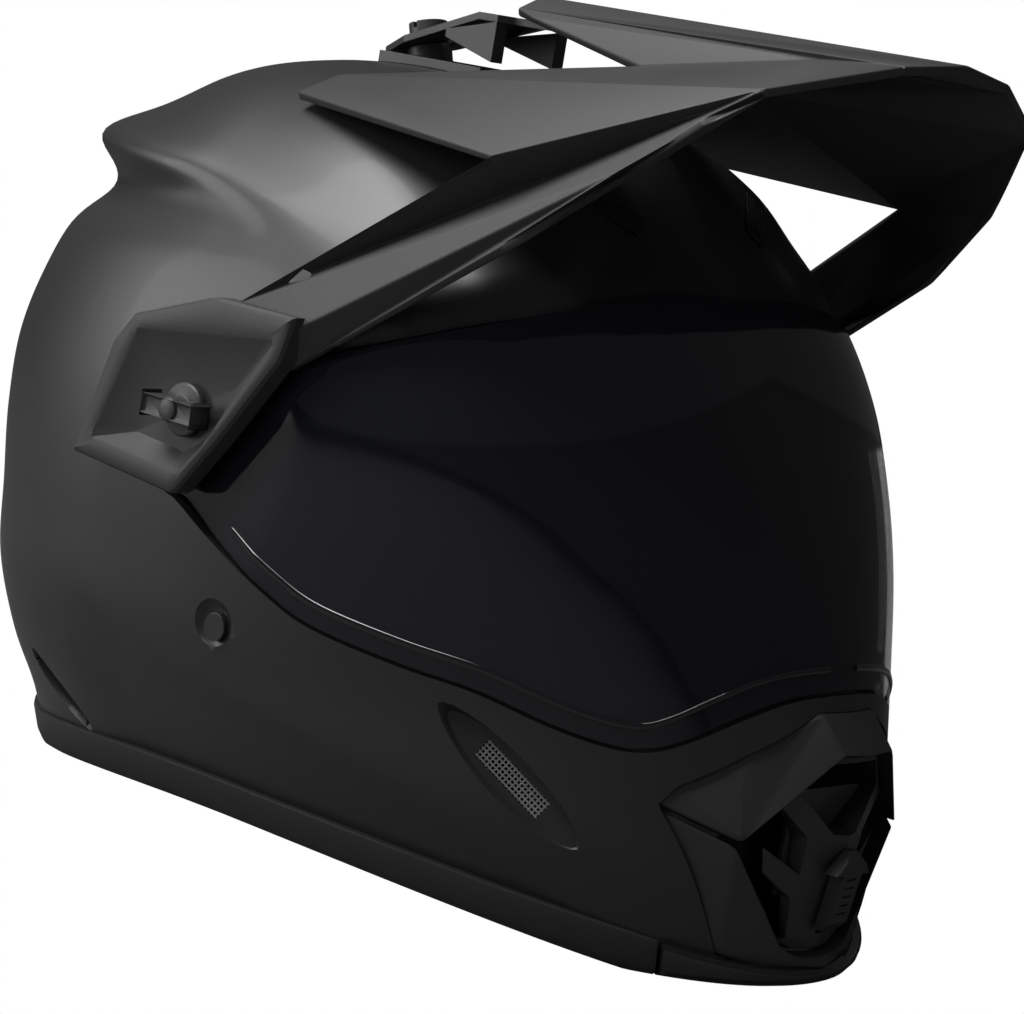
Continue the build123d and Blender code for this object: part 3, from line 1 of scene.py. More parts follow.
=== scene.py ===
"""Looks of the dual sport helmet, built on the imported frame.

Lengths in this script are millimetres in the helmet's own frame, where the
side pivots lie on Y = 0 and Z = 150. ``Place`` turns them into the metres of
the row frame.
"""

import json
import logging
import math
from dataclasses import dataclass, field
from enum import Enum
from typing import Any, Callable, Dict, List, Optional, Sequence, Tuple

import bmesh
import bpy
from mathutils import Matrix, Vector


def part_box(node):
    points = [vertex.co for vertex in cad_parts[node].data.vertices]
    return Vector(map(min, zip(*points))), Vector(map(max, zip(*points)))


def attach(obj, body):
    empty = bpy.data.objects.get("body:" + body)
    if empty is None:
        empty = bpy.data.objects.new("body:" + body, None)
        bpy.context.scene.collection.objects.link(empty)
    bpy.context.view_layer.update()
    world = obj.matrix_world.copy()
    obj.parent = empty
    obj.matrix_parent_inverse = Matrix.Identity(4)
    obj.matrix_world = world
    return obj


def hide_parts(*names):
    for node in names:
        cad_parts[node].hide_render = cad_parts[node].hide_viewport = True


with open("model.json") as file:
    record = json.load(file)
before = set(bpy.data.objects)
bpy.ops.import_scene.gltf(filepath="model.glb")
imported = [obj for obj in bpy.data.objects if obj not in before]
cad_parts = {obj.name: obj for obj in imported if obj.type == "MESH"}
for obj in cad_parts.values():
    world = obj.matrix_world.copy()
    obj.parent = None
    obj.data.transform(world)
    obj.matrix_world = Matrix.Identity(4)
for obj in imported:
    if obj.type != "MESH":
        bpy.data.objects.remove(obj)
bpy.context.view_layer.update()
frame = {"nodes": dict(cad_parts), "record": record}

logging.basicConfig(level=logging.INFO, format="%(message)s")
LOG = logging.getLogger("helmet")

Point = Tuple[float, float, float]
Flat = Tuple[float, float]

# Reach of the skin from the pivots, and its sections from the base to the crown.
PIVOT_Z = 150.0
HEIGHT = 272.0
HALF = 126.5
FRONT = 197.0
REAR = 166.0
SKIN_SHARES = [
    (0.000, 0.706, 0.979, 0.900, -0.084, 2.08, 2.79),
    (0.081, 0.798, 0.998, 0.909, -0.071, 2.03, 2.75),
    (0.165, 0.906, 1.000, 0.942, -0.029, 1.95, 2.70),
    (0.265, 0.968, 0.989, 0.977, 0.031, 1.82, 2.69),
    (0.368, 0.991, 0.941, 0.986, 0.040, 1.96, 2.68),
    (0.471, 1.000, 0.878, 1.000, 0.046, 2.20, 2.69),
    (0.570, 0.994, 0.797, 0.998, 0.050, 2.50, 2.66),
    (0.669, 0.964, 0.713, 0.958, 0.068, 2.75, 2.54),
    (0.765, 0.887, 0.622, 0.903, 0.125, 2.87, 2.39),
    (0.846, 0.777, 0.530, 0.836, 0.183, 2.71, 2.33),
    (0.912, 0.642, 0.446, 0.730, 0.200, 2.65, 2.26),
    (0.960, 0.461, 0.320, 0.607, 0.185, 2.45, 2.19),
    (0.987, 0.245, 0.110, 0.430, 0.168, 2.20, 2.09),
    (1.000, 0.030, -0.125, 0.190, 0.158, 2.00, 2.00),
]
CREST = [(-31, 0.790), (-22, 0.801), (8, 0.835), (58, 0.849), (90, 0.851)]
FLOOR = [(-31, 0.783), (-6, 0.787), (2, 0.794), (38, 0.776), (90, 0.774)]

# Side view of the shield, the lower ridge and the peak's plate, as reach and height.
SHIELD_LOWER = [
    (2, 119), (-18, 108), (-38, 98), (-56, 91), (-87, 86), (-112, 83), (-134, 77), (-150, 74),
    (-160, 75), (-168, 80), (-176, 88), (-183, 95.5), (-188, 98.5), (-226, 98.5),
]
SHIELD_UPPER = [
    (-226, 214), (-117, 214), (-109, 206), (-95, 198), (-84, 193), (-71, 187), (-56, 181),
    (-33, 172), (-12, 174),
]
EAR_R = 30.0
EAR_GAP = 0.5
EAR_STEP = 6
EAR_END = -84
RIDGE_LINE = [(60, 82), (44, 74), (12, 63), (-55, 53), (-93, 45), (-124, 31), (-147, 20), (-167, 9)]
PLATE = [(28, 177), (-9, 189), (-47, 189), (-43, 174), (-20, 143), (-3, 122), (49, 126), (36, 167)]
BASIN_TOP = [(24, 172), (-40, 180), (-14, 141), (-4, 130), (39, 133)]
BASIN_FLOOR = [(15, 157.6), (-21, 161.4), (-12, 143.2), (-1, 136), (24.6, 138)]

# Corners of the folded pieces, as shares of each one's half width, reach and height.
PEAK = {
    "crest_rear": (0.000, 0.042, 1.000), "crest_front": (0.000, 1.000, 0.994),
    "spine_rear": (0.106, 0.053, 0.964), "spine_front": (0.190, 0.794, 0.957),
    "spine_low": (0.152, 0.122, 0.947), "gap_front": (0.227, 0.434, 0.882),
    "nose": (0.227, 0.984, 0.970), "corner": (0.568, 0.894, 0.882),
    "fin_bend": (0.500, -0.106, 0.752), "fin_tip": (0.606, -0.127, 0.700),
    "junction": (0.848, 0.513, 0.658), "ridge_high": (0.788, 0.746, 0.671),
    "ridge_low": (1.000, 0.243, 0.235), "edge_top": (0.561, 0.881, 0.858),
    "edge_high": (0.667, 0.831, 0.803), "edge_mid": (0.894, 0.593, 0.487),
    "edge_low": (0.966, 0.212, 0.139), "arm_rear": (0.985, 0.054, 0.235),
}
PEAK_FACETS = [
    ("crest_rear", "crest_front", "nose", "spine_front", "spine_rear"),
    ("spine_rear", "spine_front", "gap_front", "spine_low"),
    ("gap_front", "spine_front", "nose", "corner"),
    ("gap_front", "corner", "junction", "fin_tip", "fin_bend"),
    ("junction", "corner", "ridge_high", "ridge_low", "arm_rear"),
    ("ridge_low", "ridge_high", "edge_mid", "edge_low"),
    ("ridge_high", "corner", "edge_high", "edge_mid"),
    ("corner", "edge_top", "edge_high"),
]
COWL = {
    "side": (1.000, 0.811, 0.637), "side_top": (0.933, 0.826, 0.703), "brow": (0.633, 0.891, 0.846),
    "top": (0.233, 0.940, 1.000), "top_mid": (0.000, 0.945, 1.000), "lip_side": (0.700, 0.930, 0.549),
    "lip_top": (0.217, 0.995, 0.879), "lip_mid": (0.000, 1.000, 0.873),
}
COWL_FACETS = [
    ("side", "side_top", "brow", "top", "lip_top", "lip_side"),
    ("top", "top_mid", "lip_mid", "lip_top"),
]
FRAME = {
    "side": (0.990, 0.812, 0.615), "low_side": (0.633, 0.906, 0.121), "low": (0.400, 0.940, 0.077),
    "low_mid": (0.000, 0.985, 0.077), "rim_side": (0.717, 0.925, 0.530), "rim_low": (0.300, 0.958, 0.154),
    "rim_base": (0.183, 0.970, 0.121), "rim_mid": (0.000, 0.975, 0.115),
}
FRAME_FACETS = [
    ("side", "rim_side", "rim_low", "low_side"),
    ("low_side", "rim_low", "rim_base", "low"),
    ("low", "rim_base", "rim_mid", "low_mid"),
]
GRILLE = {
    "side": (0.680, 0.905, 0.532), "top": (0.200, 0.968, 0.862), "top_mid": (0.000, 0.972, 0.857),
    "stem_top": (0.000, 0.985, 0.527), "low": (0.285, 0.935, 0.165), "base": (0.170, 0.945, 0.138),
    "base_mid": (0.000, 0.958, 0.135),
}
GRILLE_FACETS = [
    ("side", "top", "stem_top"),
    ("top", "top_mid", "stem_top"),
    ("side", "stem_top", "base_mid", "base", "low"),
]
MIDDLE_WINDOW = [(-0.20, 0.835), (0.20, 0.835), (0.35, 0.725), (0.10, 0.575), (-0.10, 0.575), (-0.35, 0.725)]
SIDE_WINDOWS = [
    [(0.46, 0.680), (0.25, 0.560), (0.24, 0.420), (0.60, 0.560)],
    [(0.60, 0.490), (0.26, 0.330), (0.22, 0.180), (0.28, 0.175)],
]
VENT = (60.0, 201.0, 91.0)

# How the makers below work: weld and cut sizes, and bends in degrees.
WELD = 0.02
FAR = 170.0
FLAT_BEND = 1.5
LEAST_FOLD = 7.0
BAND_BEND = 5.0
BAND_STEP = 3
BAND_AROUND = 16


class Side(Enum):
    """The two sides of the helmet."""

    RIGHT = -1
    LEFT = 1

    @property
    def word(self) -> str:
        """Returns the side's name as pieces carry it."""
        return self.name.lower()

    @property
    def outwards(self) -> Vector:
        """Returns the direction away from the middle."""
        return Vector((self.value, 0, 0))


class Place:
    """Turns millimetres of the helmet's own frame into metres of the row frame."""

    low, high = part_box("pivot_insert_right")
    shift_y: float = (low[1] + high[1]) / 2

    @classmethod
    def at(cls, x: float, y: float, z: float) -> Vector:
        """Moves a place into the row frame.

        Args:
            x: across, positive to the wearer's left.
            y: back from the pivots.
            z: up from the rim.

        Returns:
            The place in metres.
        """
        return Vector((x / 1000, y / 1000 + cls.shift_y, z / 1000))


def between(value: float, pairs: Sequence[Flat]) -> float:
    """Reads a value from a short table.

    Args:
        value: the place to read at.
        pairs: (place, value) pairs in rising order.

    Returns:
        The value there, level past both ends.
    """
    if value <= pairs[0][0]:
        return pairs[0][1]
    for (low, first), (high, last) in zip(pairs, pairs[1:]):
        if value <= high:
            return first + (last - first) * (value - low) / (high - low)
    return pairs[-1][1]


def ease(value: float, start: float, full: float) -> float:
    """Climbs smoothly from nothing at a start to one where it is full."""
    t = min(max((value - start) / (full - start), 0), 1)
    return t * t * (3 - 2 * t)


def power_wave(value: float, power: float) -> float:
    """Returns a signed value raised to a power, which squares or points a round."""
    return math.copysign(abs(value) ** power, value)


class Skin:
    """The helmet's outer form as a smooth function of angle and height."""

    crest_angles: Flat = (-31, 52)
    crest_out: float = 11.0
    crest_spread: float = 9.0
    floor_angles: Flat = (-20, 36)
    floor_in: float = 7.0
    floor_spread: float = 10.0
    least: float = 0.15
    probe: float = 5.0
    halvings: int = 24

    @staticmethod
    def row(share: float) -> List[float]:
        """Reads the section table at a height, on a smooth curve through its rows.

        Args:
            share: height as a share of the whole.

        Returns:
            Half width, front, rear, centre and the powers of the front and the rear.
        """
        rows = SKIN_SHARES
        share = min(max(share, 0), 1)
        index = max(i for i in range(len(rows) - 1) if rows[i][0] <= share)
        low, high = rows[index], rows[index + 1]
        before, after = rows[max(index - 1, 0)], rows[min(index + 2, len(rows) - 1)]
        width = high[0] - low[0]
        t = (share - low[0]) / width
        out = []
        for b, p, q, a in zip(before[1:], low[1:], high[1:], after[1:]):
            sp = width * (q - b) / (high[0] - before[0])
            sq = width * (a - p) / (after[0] - low[0])
            out.append((2 * t**3 - 3 * t**2 + 1) * p + (t**3 - 2 * t**2 + t) * sp
                       + (3 * t**2 - 2 * t**3) * q + (t**3 - t**2) * sq)
        return out

    @classmethod
    def relief(cls, angle: float, share: float) -> float:
        """Works out the spoiler and the channel under it.

        Args:
            angle: angle round from the wearer's left, in degrees.
            share: height as a share of the whole.

        Returns:
            How far the surface stands out there.
        """
        side = 90 - abs(abs(angle) - 90) if angle >= 0 else -min(-angle, 180 + angle)
        height = share * HEIGHT
        crest = (height - between(side, CREST) * HEIGHT) / cls.crest_spread
        floor = (height - between(side, FLOOR) * HEIGHT) / cls.floor_spread
        rise = cls.crest_out * ease(side, *cls.crest_angles) * math.exp(-crest * crest)
        dip = cls.floor_in * ease(side, *cls.floor_angles) * math.exp(-floor * floor)
        return rise - dip

    @classmethod
    def point(cls, turn: float, share: float, inset: float, shaped: bool = True) -> Point:
        """Finds a place on the skin, drawn in by an inset.

        Args:
            turn: angle round from the wearer's left, in radians.
            share: height as a share of the whole.
            inset: how far inside the skin.
            shaped: whether the spoiler and the channel show.

        Returns:
            The place in millimetres.
        """
        half, front, rear, centre, front_power, rear_power = cls.row(share)
        middle = centre * REAR
        side = max(half * HALF - inset, cls.least)
        fore = max(middle + front * FRONT - inset, cls.least)
        back = max(rear * REAR - middle - inset, cls.least)
        height = share * HEIGHT
        if height > PIVOT_Z:
            height = PIVOT_Z + (height - PIVOT_Z) * (1 - inset / (HEIGHT - PIVOT_Z))
        c, s = math.cos(turn), math.sin(turn)
        power, depth = (front_power, fore) if s < 0 else (rear_power, back)
        reach = (abs(c) ** power + abs(s) ** power) ** (-1 / power)
        x, y = side * reach * c, depth * reach * s
        if shaped:
            grow = 1 + cls.relief(math.degrees(math.atan2(y, x)), share) / math.hypot(x, y)
            x, y = x * grow, y * grow
        return (x, middle + y, height)

    @classmethod
    def side_x(cls, y: float, z: float) -> float:
        """Finds half the width of the skin at a place seen from the side.

        Args:
            y: back from the pivots.
            z: up from the rim.

        Returns:
            The distance out from the middle.
        """
        half, front, rear, centre, front_power, rear_power = cls.row(z / HEIGHT)
        middle = centre * REAR
        depth = middle + front * FRONT if y < middle else rear * REAR - middle
        power = front_power if y < middle else rear_power
        share = min(abs(y - middle) / depth, 1)
        return half * HALF * (1 - share**power) ** (1 / power)

    @classmethod
    def turn_at(cls, y: float, share: float, inset: float) -> float:
        """Finds where the left side of the outline passes a reach.

        Args:
            y: back from the pivots.
            share: height as a share of the whole.
            inset: how far inside the skin.

        Returns:
            The angle round, in radians.
        """
        low, high = -math.pi / 2, math.pi / 2
        for _ in range(cls.halvings):
            mid = (low + high) / 2
            if cls.point(mid, share, inset, False)[1] < y:
                low = mid
            else:
                high = mid
        return (low + high) / 2

    @classmethod
    def plane(cls, y: float, z: float, side: Side, tilt: float) -> Matrix:
        """Lays a plane on the skin.

        Args:
            y: back from the pivots.
            z: up from the rim.
            side: which side it lies on.
            tilt: how far its first axis is turned from level, in degrees.

        Returns:
            Its matrix in the row frame, with the third axis outwards.
        """
        x = cls.side_x(y, z)
        along = Vector((cls.side_x(y - cls.probe, z) - x, -cls.probe, 0)).normalized()
        up = Vector((cls.side_x(y, z + cls.probe) - x, 0, cls.probe))
        normal = up.cross(along).normalized()
        if normal.x < 0:
            normal = -normal
        local_y = normal.cross(along).normalized()
        turn = math.radians(tilt)
        ax = along * math.cos(turn) + local_y * math.sin(turn)
        ay = normal.cross(ax)
        spot = Place.at(x, y, z)
        if side is Side.RIGHT:
            ax, ay, normal = [Vector((-v.x, v.y, v.z)) for v in (ax, -ay, normal)]
            spot.x = -spot.x
        matrix = Matrix((ax, ay, normal)).transposed().to_4x4()
        matrix.translation = spot
        return matrix


class Base:
    """The arched lower edge of the helmet and the seam over its trim."""

    rise: float = 11.0
    middle: float = -24.0
    half_length: float = 136.0
    seam_height: float = 15.0
    chin: float = -160.0
    chin_drop: float = 8.0
    chin_length: float = 37.0

    @classmethod
    def arch(cls, y: float) -> float:
        """Returns the rim's height over its resting line at a reach."""
        share = (y - cls.middle) / cls.half_length
        return max(cls.rise * (1 - share * share), 0)

    @classmethod
    def seam(cls, y: float) -> float:
        """Finds the seam between the shell and the trim.

        Args:
            y: back from the pivots.

        Returns:
            Its height there.
        """
        if y > cls.chin:
            return cls.seam_height + cls.arch(y)
        return cls.seam_height - cls.chin_drop * min((cls.chin - y) / cls.chin_length, 1)


def curve_through(points: Sequence[Flat], steps: int = 6) -> List[Flat]:
    """Draws a smooth curve through a few points.

    Args:
        points: the places it passes.
        steps: pieces between each two of them.

    Returns:
        Places along the curve.
    """
    def at(p: float, q: float, r: float, s: float, t: float) -> float:
        """Returns one coordinate between q and r."""
        square, cube = 2 * p - 5 * q + 4 * r - s, 3 * q - p - 3 * r + s
        return 0.5 * (2 * q + (r - p) * t + square * t * t + cube * t**3)

    out: List[Flat] = []
    for i in range(len(points) - 1):
        a, b = points[max(i - 1, 0)], points[i]
        c, d = points[i + 1], points[min(i + 2, len(points) - 1)]
        for k in range(steps):
            out.append(tuple(at(*four, k / steps) for four in zip(a, b, c, d)))
    return out + [points[-1]]


def grown(points: Sequence[Flat], margin: float) -> List[Flat]:
    """Moves every corner of a closed outline outwards.

    Args:
        points: the outline's corners.
        margin: how far they move, inwards where it is less than nothing.

    Returns:
        The new corners.
    """
    count = len(points)
    area = sum(points[i][0] * points[(i + 1) % count][1] - points[(i + 1) % count][0] * points[i][1]
               for i in range(count))
    sign = 1 if area > 0 else -1
    out = []
    for i, (y, z) in enumerate(points):
        before, after = points[i - 1], points[(i + 1) % count]
        dy, dz = after[0] - before[0], after[1] - before[1]
        length = math.hypot(dy, dz) or 1
        out.append((y + sign * margin * dz / length, z - sign * margin * dy / length))
    return out


def resampled(points: Sequence[Flat], count: int) -> List[Flat]:
    """Spreads points evenly along a closed outline.

    Args:
        points: the outline's corners.
        count: how many points to spread.

    Returns:
        The points in order from the first corner.
    """
    lengths = [math.dist(a, b) for a, b in zip(points, [*points[1:], points[0]])]
    whole = sum(lengths)
    out = []
    for k in range(count):
        run = whole * k / count
        i = 0
        while run > lengths[i]:
            run -= lengths[i]
            i += 1
        a, b = points[i], points[(i + 1) % len(points)]
        out.append((a[0] + (b[0] - a[0]) * run / lengths[i], a[1] + (b[1] - a[1]) * run / lengths[i]))
    return out


def both_halves(points: Sequence[Flat]) -> List[Flat]:
    """Returns a front-view outline from its half on one side."""
    return list(points) + [(-x, z) for x, z in reversed(points)]


def shield_outline() -> List[Flat]:
    """Draws the shield's outline seen from the side, its round ear included.

    Returns:
        The closed outline's corners.
    """
    lower = curve_through(SHIELD_LOWER[:-1]) + [SHIELD_LOWER[-1]]
    upper = [SHIELD_UPPER[0]] + curve_through(SHIELD_UPPER[1:])
    upper = [p for p in upper if math.hypot(p[0], p[1] - PIVOT_Z) > EAR_R + EAR_GAP]
    last = upper[-1]
    angle = math.degrees(math.atan2(last[1] - PIVOT_Z, last[0])) - EAR_STEP / 2
    arc = []
    while angle > EAR_END:
        a = math.radians(angle)
        arc.append((EAR_R * math.cos(a), PIVOT_Z + EAR_R * math.sin(a)))
        angle -= EAR_STEP
    return lower + upper + arc


class Make:
    """Turns points into finished mesh objects with the origin at the frame's own."""

    @staticmethod
    def obj(name: str, bm: bmesh.types.BMesh, smooth: float = 35.0) -> bpy.types.Object:
        """Makes a linked object of a bmesh.

        Args:
            name: the piece's name.
            bm: the geometry, freed here.
            smooth: edges bent more than this many degrees stay sharp.

        Returns:
            The object.
        """
        bmesh.ops.recalc_face_normals(bm, faces=bm.faces)
        mesh = bpy.data.meshes.new(name)
        bm.to_mesh(mesh)
        bm.free()
        made = bpy.data.objects.new(name, mesh)
        bpy.context.scene.collection.objects.link(made)
        Make.shade(made, smooth)
        return made

    @staticmethod
    def shade(obj: bpy.types.Object, smooth: float) -> None:
        """Shades an object smooth but for its sharp edges.

        Args:
            obj: the object.
            smooth: edges bent more than this many degrees stay sharp.
        """
        obj.data.polygons.foreach_set("use_smooth", [True] * len(obj.data.polygons))
        obj.data.set_sharp_from_angle(angle=math.radians(smooth))
        obj.data.update()

    @staticmethod
    def boolean(obj: bpy.types.Object, tool: bpy.types.Object, how: str = "DIFFERENCE",
                smooth: float = 35.0) -> bpy.types.Object:
        """Cuts, meets or joins an object with a tool.

        Args:
            obj: the piece that is worked on.
            tool: the tool, removed here.
            how: the Boolean modifier's operation.
            smooth: edges bent more than this many degrees stay sharp.

        Returns:
            The piece.
        """
        mod = obj.modifiers.new("cut", "BOOLEAN")
        mod.operation = how
        mod.solver = "EXACT"
        mod.object = tool
        graph = bpy.context.evaluated_depsgraph_get()
        mesh = bpy.data.meshes.new_from_object(obj.evaluated_get(graph))
        obj.modifiers.clear()
        old = obj.data
        obj.data = mesh
        bpy.data.meshes.remove(old)
        Make.shade(obj, smooth)
        mesh = tool.data
        bpy.data.objects.remove(tool)
        bpy.data.meshes.remove(mesh)
        return obj

    @staticmethod
    def join_rows(bm: bmesh.types.BMesh, rows: Sequence[Sequence[bmesh.types.BMVert]]) -> None:
        """Puts faces between each two rows of corners.

        Args:
            bm: the geometry.
            rows: rows of as many corners each, each closed on itself.
        """
        for low, high in zip(rows, rows[1:]):
            for i in range(len(low)):
                k = (i + 1) % len(low)
                bm.faces.new((low[i], low[k], high[k], high[i]))

    @staticmethod
    def cap(bm: bmesh.types.BMesh, row: Sequence[bmesh.types.BMVert]) -> None:
        """Closes a row of corners with a fan to its middle.

        Args:
            bm: the geometry.
            row: the corners in order.
        """
        middle = bm.verts.new(sum((v.co for v in row), Vector()) / len(row))
        for i, corner in enumerate(row):
            bm.faces.new((corner, row[(i + 1) % len(row)], middle))

    @staticmethod
    def loft(name: str, rings: Sequence[Sequence[Vector]], smooth: float = 35.0,
             hollow: bool = False) -> bpy.types.Object:
        """Makes a closed skin over rings.

        Args:
            name: the piece's name.
            rings: rings of as many places each, in the row frame.
            smooth: edges bent more than this many degrees stay sharp.
            hollow: whether the last ring joins the first, and not each a cap.

        Returns:
            The object.
        """
        bm = bmesh.new()
        rows = [[bm.verts.new(p) for p in ring] for ring in rings]
        Make.join_rows(bm, rows + rows[:1] if hollow else rows)
        if not hollow:
            for row in (rows[0], rows[-1]):
                Make.cap(bm, row)
        return Make.obj(name, bm, smooth)

    @staticmethod
    def wall(name: str, insets: Flat, shaped: bool, limit: Optional[Flat] = None, around: int = 216,
             up: int = 112, extra: Optional[Callable[[Point], float]] = None) -> bpy.types.Object:
        """Makes a closed wall between two insets of the skin.

        Args:
            name: the piece's name.
            insets: how far in the outer and the inner face lie.
            shaped: whether the spoiler shows.
            limit: half widths at which the outer and inner faces go flat.
            around: points round each ring.
            up: rings from the base to the crown.
            extra: how much further in the outer face lies at a place.

        Returns:
            The object.
        """
        bm = bmesh.new()
        bases = []
        for number, inset in enumerate(insets):
            rows = []
            for k in range(up + 1):
                share = math.sin(k / up * math.pi / 2)
                row = []
                for i in range(around):
                    turn = 2 * math.pi * i / around
                    x, y, z = Skin.point(turn, share, inset, shaped)
                    if extra and number == 0:
                        x, y, z = Skin.point(turn, share, inset + extra((x, y, z)), shaped)
                    if limit:
                        x = max(min(x, limit[number]), -limit[number])
                    row.append(bm.verts.new(Place.at(x, y, z)))
                rows.append(row)
            Make.join_rows(bm, rows)
            Make.cap(bm, rows[-1])
            bases.append(rows[0])
        Make.join_rows(bm, bases)
        return Make.obj(name, bm)

    @staticmethod
    def block(outline: Sequence[Vector], push: Vector) -> bpy.types.Object:
        """Makes a cutting block, an outline pushed in one direction.

        Args:
            outline: corners of the near end in the row frame.
            push: the way to the far end, in metres.

        Returns:
            The tool.
        """
        bm = bmesh.new()
        face = bm.faces.new([bm.verts.new(p) for p in outline])
        pushed = bmesh.ops.extrude_face_region(bm, geom=[face])
        far = [item for item in pushed["geom"] if isinstance(item, bmesh.types.BMVert)]
        bmesh.ops.translate(bm, vec=push, verts=far)
        return Make.obj("tool", bm)

    @staticmethod
    def box(size: Point, place: Matrix) -> bpy.types.Object:
        """Makes a box as a tool.

        Args:
            size: its three widths.
            place: the row-frame matrix of its middle.

        Returns:
            The tool.
        """
        bm = bmesh.new()
        scale = Matrix.Diagonal((size[0] / 1000, size[1] / 1000, size[2] / 1000, 1))
        bmesh.ops.create_cube(bm, size=1.0, matrix=place @ scale)
        return Make.obj("tool", bm)

    @staticmethod
    def side_block(points: Sequence[Flat], low: float = -FAR, high: float = FAR) -> bpy.types.Object:
        """Returns a side-view outline in Y and Z pushed across the helmet."""
        return Make.block([Place.at(low, y, z) for y, z in points], Vector(((high - low) / 1000, 0, 0)))

    @staticmethod
    def front_block(points: Sequence[Flat], near: float, far: float) -> bpy.types.Object:
        """Returns a front-view outline in X and Z pushed along the helmet."""
        return Make.block([Place.at(x, near, z) for x, z in points], Vector((0, (far - near) / 1000, 0)))

    @staticmethod
    def lathe(name: str, profile: Sequence[Flat], centre: Point, axis: Vector, steps: int = 64,
              hollow: bool = False, smooth: float = 35.0) -> bpy.types.Object:
        """Makes a turned piece.

        Args:
            name: the piece's name.
            profile: (radius, distance along the axis) pairs.
            centre: where the axis starts.
            axis: which way it points.
            steps: faces round it.
            hollow: whether the profile closes on itself and leaves a hole.
            smooth: edges bent more than this many degrees stay sharp.

        Returns:
            The object.
        """
        base = Place.at(*centre)
        x = axis.orthogonal().normalized()
        y = axis.cross(x)
        rings = []
        for radius, along in profile:
            ring = []
            for k in range(steps):
                t = 2 * math.pi * k / steps
                ring.append(base + (x * math.cos(t) + y * math.sin(t)) * radius / 1000 + axis * along / 1000)
            rings.append(ring)
        return Make.loft(name, rings, smooth, hollow)

    @staticmethod
    def facets(name: str, shares: Dict[str, Point], loops: Sequence[Sequence[str]], scale: Point,
               lift: float = 0, wall: float = 0, depth: float = 0, bevel: float = 1.3) -> bpy.types.Object:
        """Makes a folded sheet from named corners and their mirror images, its folds rounded.

        Args:
            name: the piece's name.
            shares: corners as shares of the scale.
            loops: facets by corner names.
            scale: half width, reach and height.
            lift: height of the shares' zero.
            wall: thickness square to the faces.
            depth: or a straight thickness backwards.
            bevel: radius of the rounded folds.

        Returns:
            The object.
        """
        corners: Dict[str, Vector] = {}
        for key, (x, y, z) in shares.items():
            place = Vector((x * scale[0], -y * scale[1], z * scale[2] + lift))
            corners[key] = place
            if x:
                corners[key + " far"] = Vector((-place.x, place.y, place.z))
        far_name = {key: key + " far" if key + " far" in corners else key for key in shares}
        triangles = []
        for loop in loops:
            for corner in (list(loop), [far_name[k] for k in reversed(loop)]):
                triangles += [(corner[0], corner[i], corner[i + 1]) for i in range(1, len(corner) - 1)]
        sums = {key: Vector() for key in corners}
        for a, b, c in triangles:
            normal = (corners[b] - corners[a]).cross(corners[c] - corners[a])
            for key in (a, b, c):
                sums[key] += normal
        bm = bmesh.new()
        top = {key: bm.verts.new(Place.at(*p)) for key, p in corners.items()}
        low = {}
        for key, p in corners.items():
            inner = p + Vector((0, depth, 0)) if depth else p - sums[key].normalized() * wall
            low[key] = bm.verts.new(Place.at(*inner))
        edges = []
        for a, b, c in triangles:
            bm.faces.new((top[a], top[b], top[c]))
            bm.faces.new((low[c], low[b], low[a]))
            edges += [(a, b), (b, c), (c, a)]
        for a, b in edges:
            if (b, a) not in edges:
                bm.faces.new((top[b], top[a], low[a], low[b]))
        bmesh.ops.recalc_face_normals(bm, faces=bm.faces)
        bmesh.ops.dissolve_limit(bm, angle_limit=math.radians(FLAT_BEND), verts=bm.verts, edges=bm.edges)
        folds = [e for e in bm.edges
                 if len(e.link_faces) == 2 and e.calc_face_angle(0) > math.radians(LEAST_FOLD)]
        bmesh.ops.bevel(bm, geom=folds, offset=bevel / 1000, offset_type="OFFSET", affect="EDGES",
                        segments=3, profile=0.5, clamp_overlap=True, material=-1)
        return Make.obj(name, bm, 30)

    @staticmethod
    def ribbon(name: str, path: Sequence[Flat], wall: float, width: float, middle_y: float,
               crown: float = 0.0) -> bpy.types.Object:
        """Makes a flat band along a path in X and Z, its corners rounded.

        Args:
            name: the piece's name.
            path: the band's corners.
            wall: its thickness.
            width: its width along the helmet.
            middle_y: where its middle lies along the helmet.
            crown: how far it swells between its ends.

        Returns:
            The object.
        """
        rounded = [path[0]]
        for a, b, c in zip(path, path[1:], path[2:]):
            p, q, r = Vector(a), Vector(b), Vector(c)
            cut = min(BAND_BEND, (p - q).length / 2.2, (r - q).length / 2.2)
            start, end = q + (p - q).normalized() * cut, q + (r - q).normalized() * cut
            for t in (0, 0.25, 0.5, 0.75, 1):
                rounded.append(tuple((1 - t) ** 2 * start + 2 * t * (1 - t) * q + t * t * end))
        rounded.append(path[-1])
        dense: List[Vector] = []
        for a, b in zip(rounded, rounded[1:]):
            count = max(int((Vector(b) - Vector(a)).length // BAND_STEP), 1)
            dense += [Vector(a).lerp(Vector(b), k / count) for k in range(count)]
        dense.append(Vector(rounded[-1]))
        rings = []
        for i, p in enumerate(dense):
            along = (dense[min(i + 1, len(dense) - 1)] - dense[max(i - 1, 0)]).normalized()
            across = Vector((-along.y, along.x))
            swell = wall / 2 + crown * ease(min(i, len(dense) - 1 - i), 0, 4)
            ring = []
            for k in range(BAND_AROUND):
                t = 2 * math.pi * k / BAND_AROUND
                u = power_wave(math.cos(t), 0.35) * width / 2
                q = p + across * (power_wave(math.sin(t), 0.6) * swell)
                ring.append(Place.at(q.x, middle_y + u, q.y))
            rings.append(ring)
        return Make.loft(name, rings, 60)


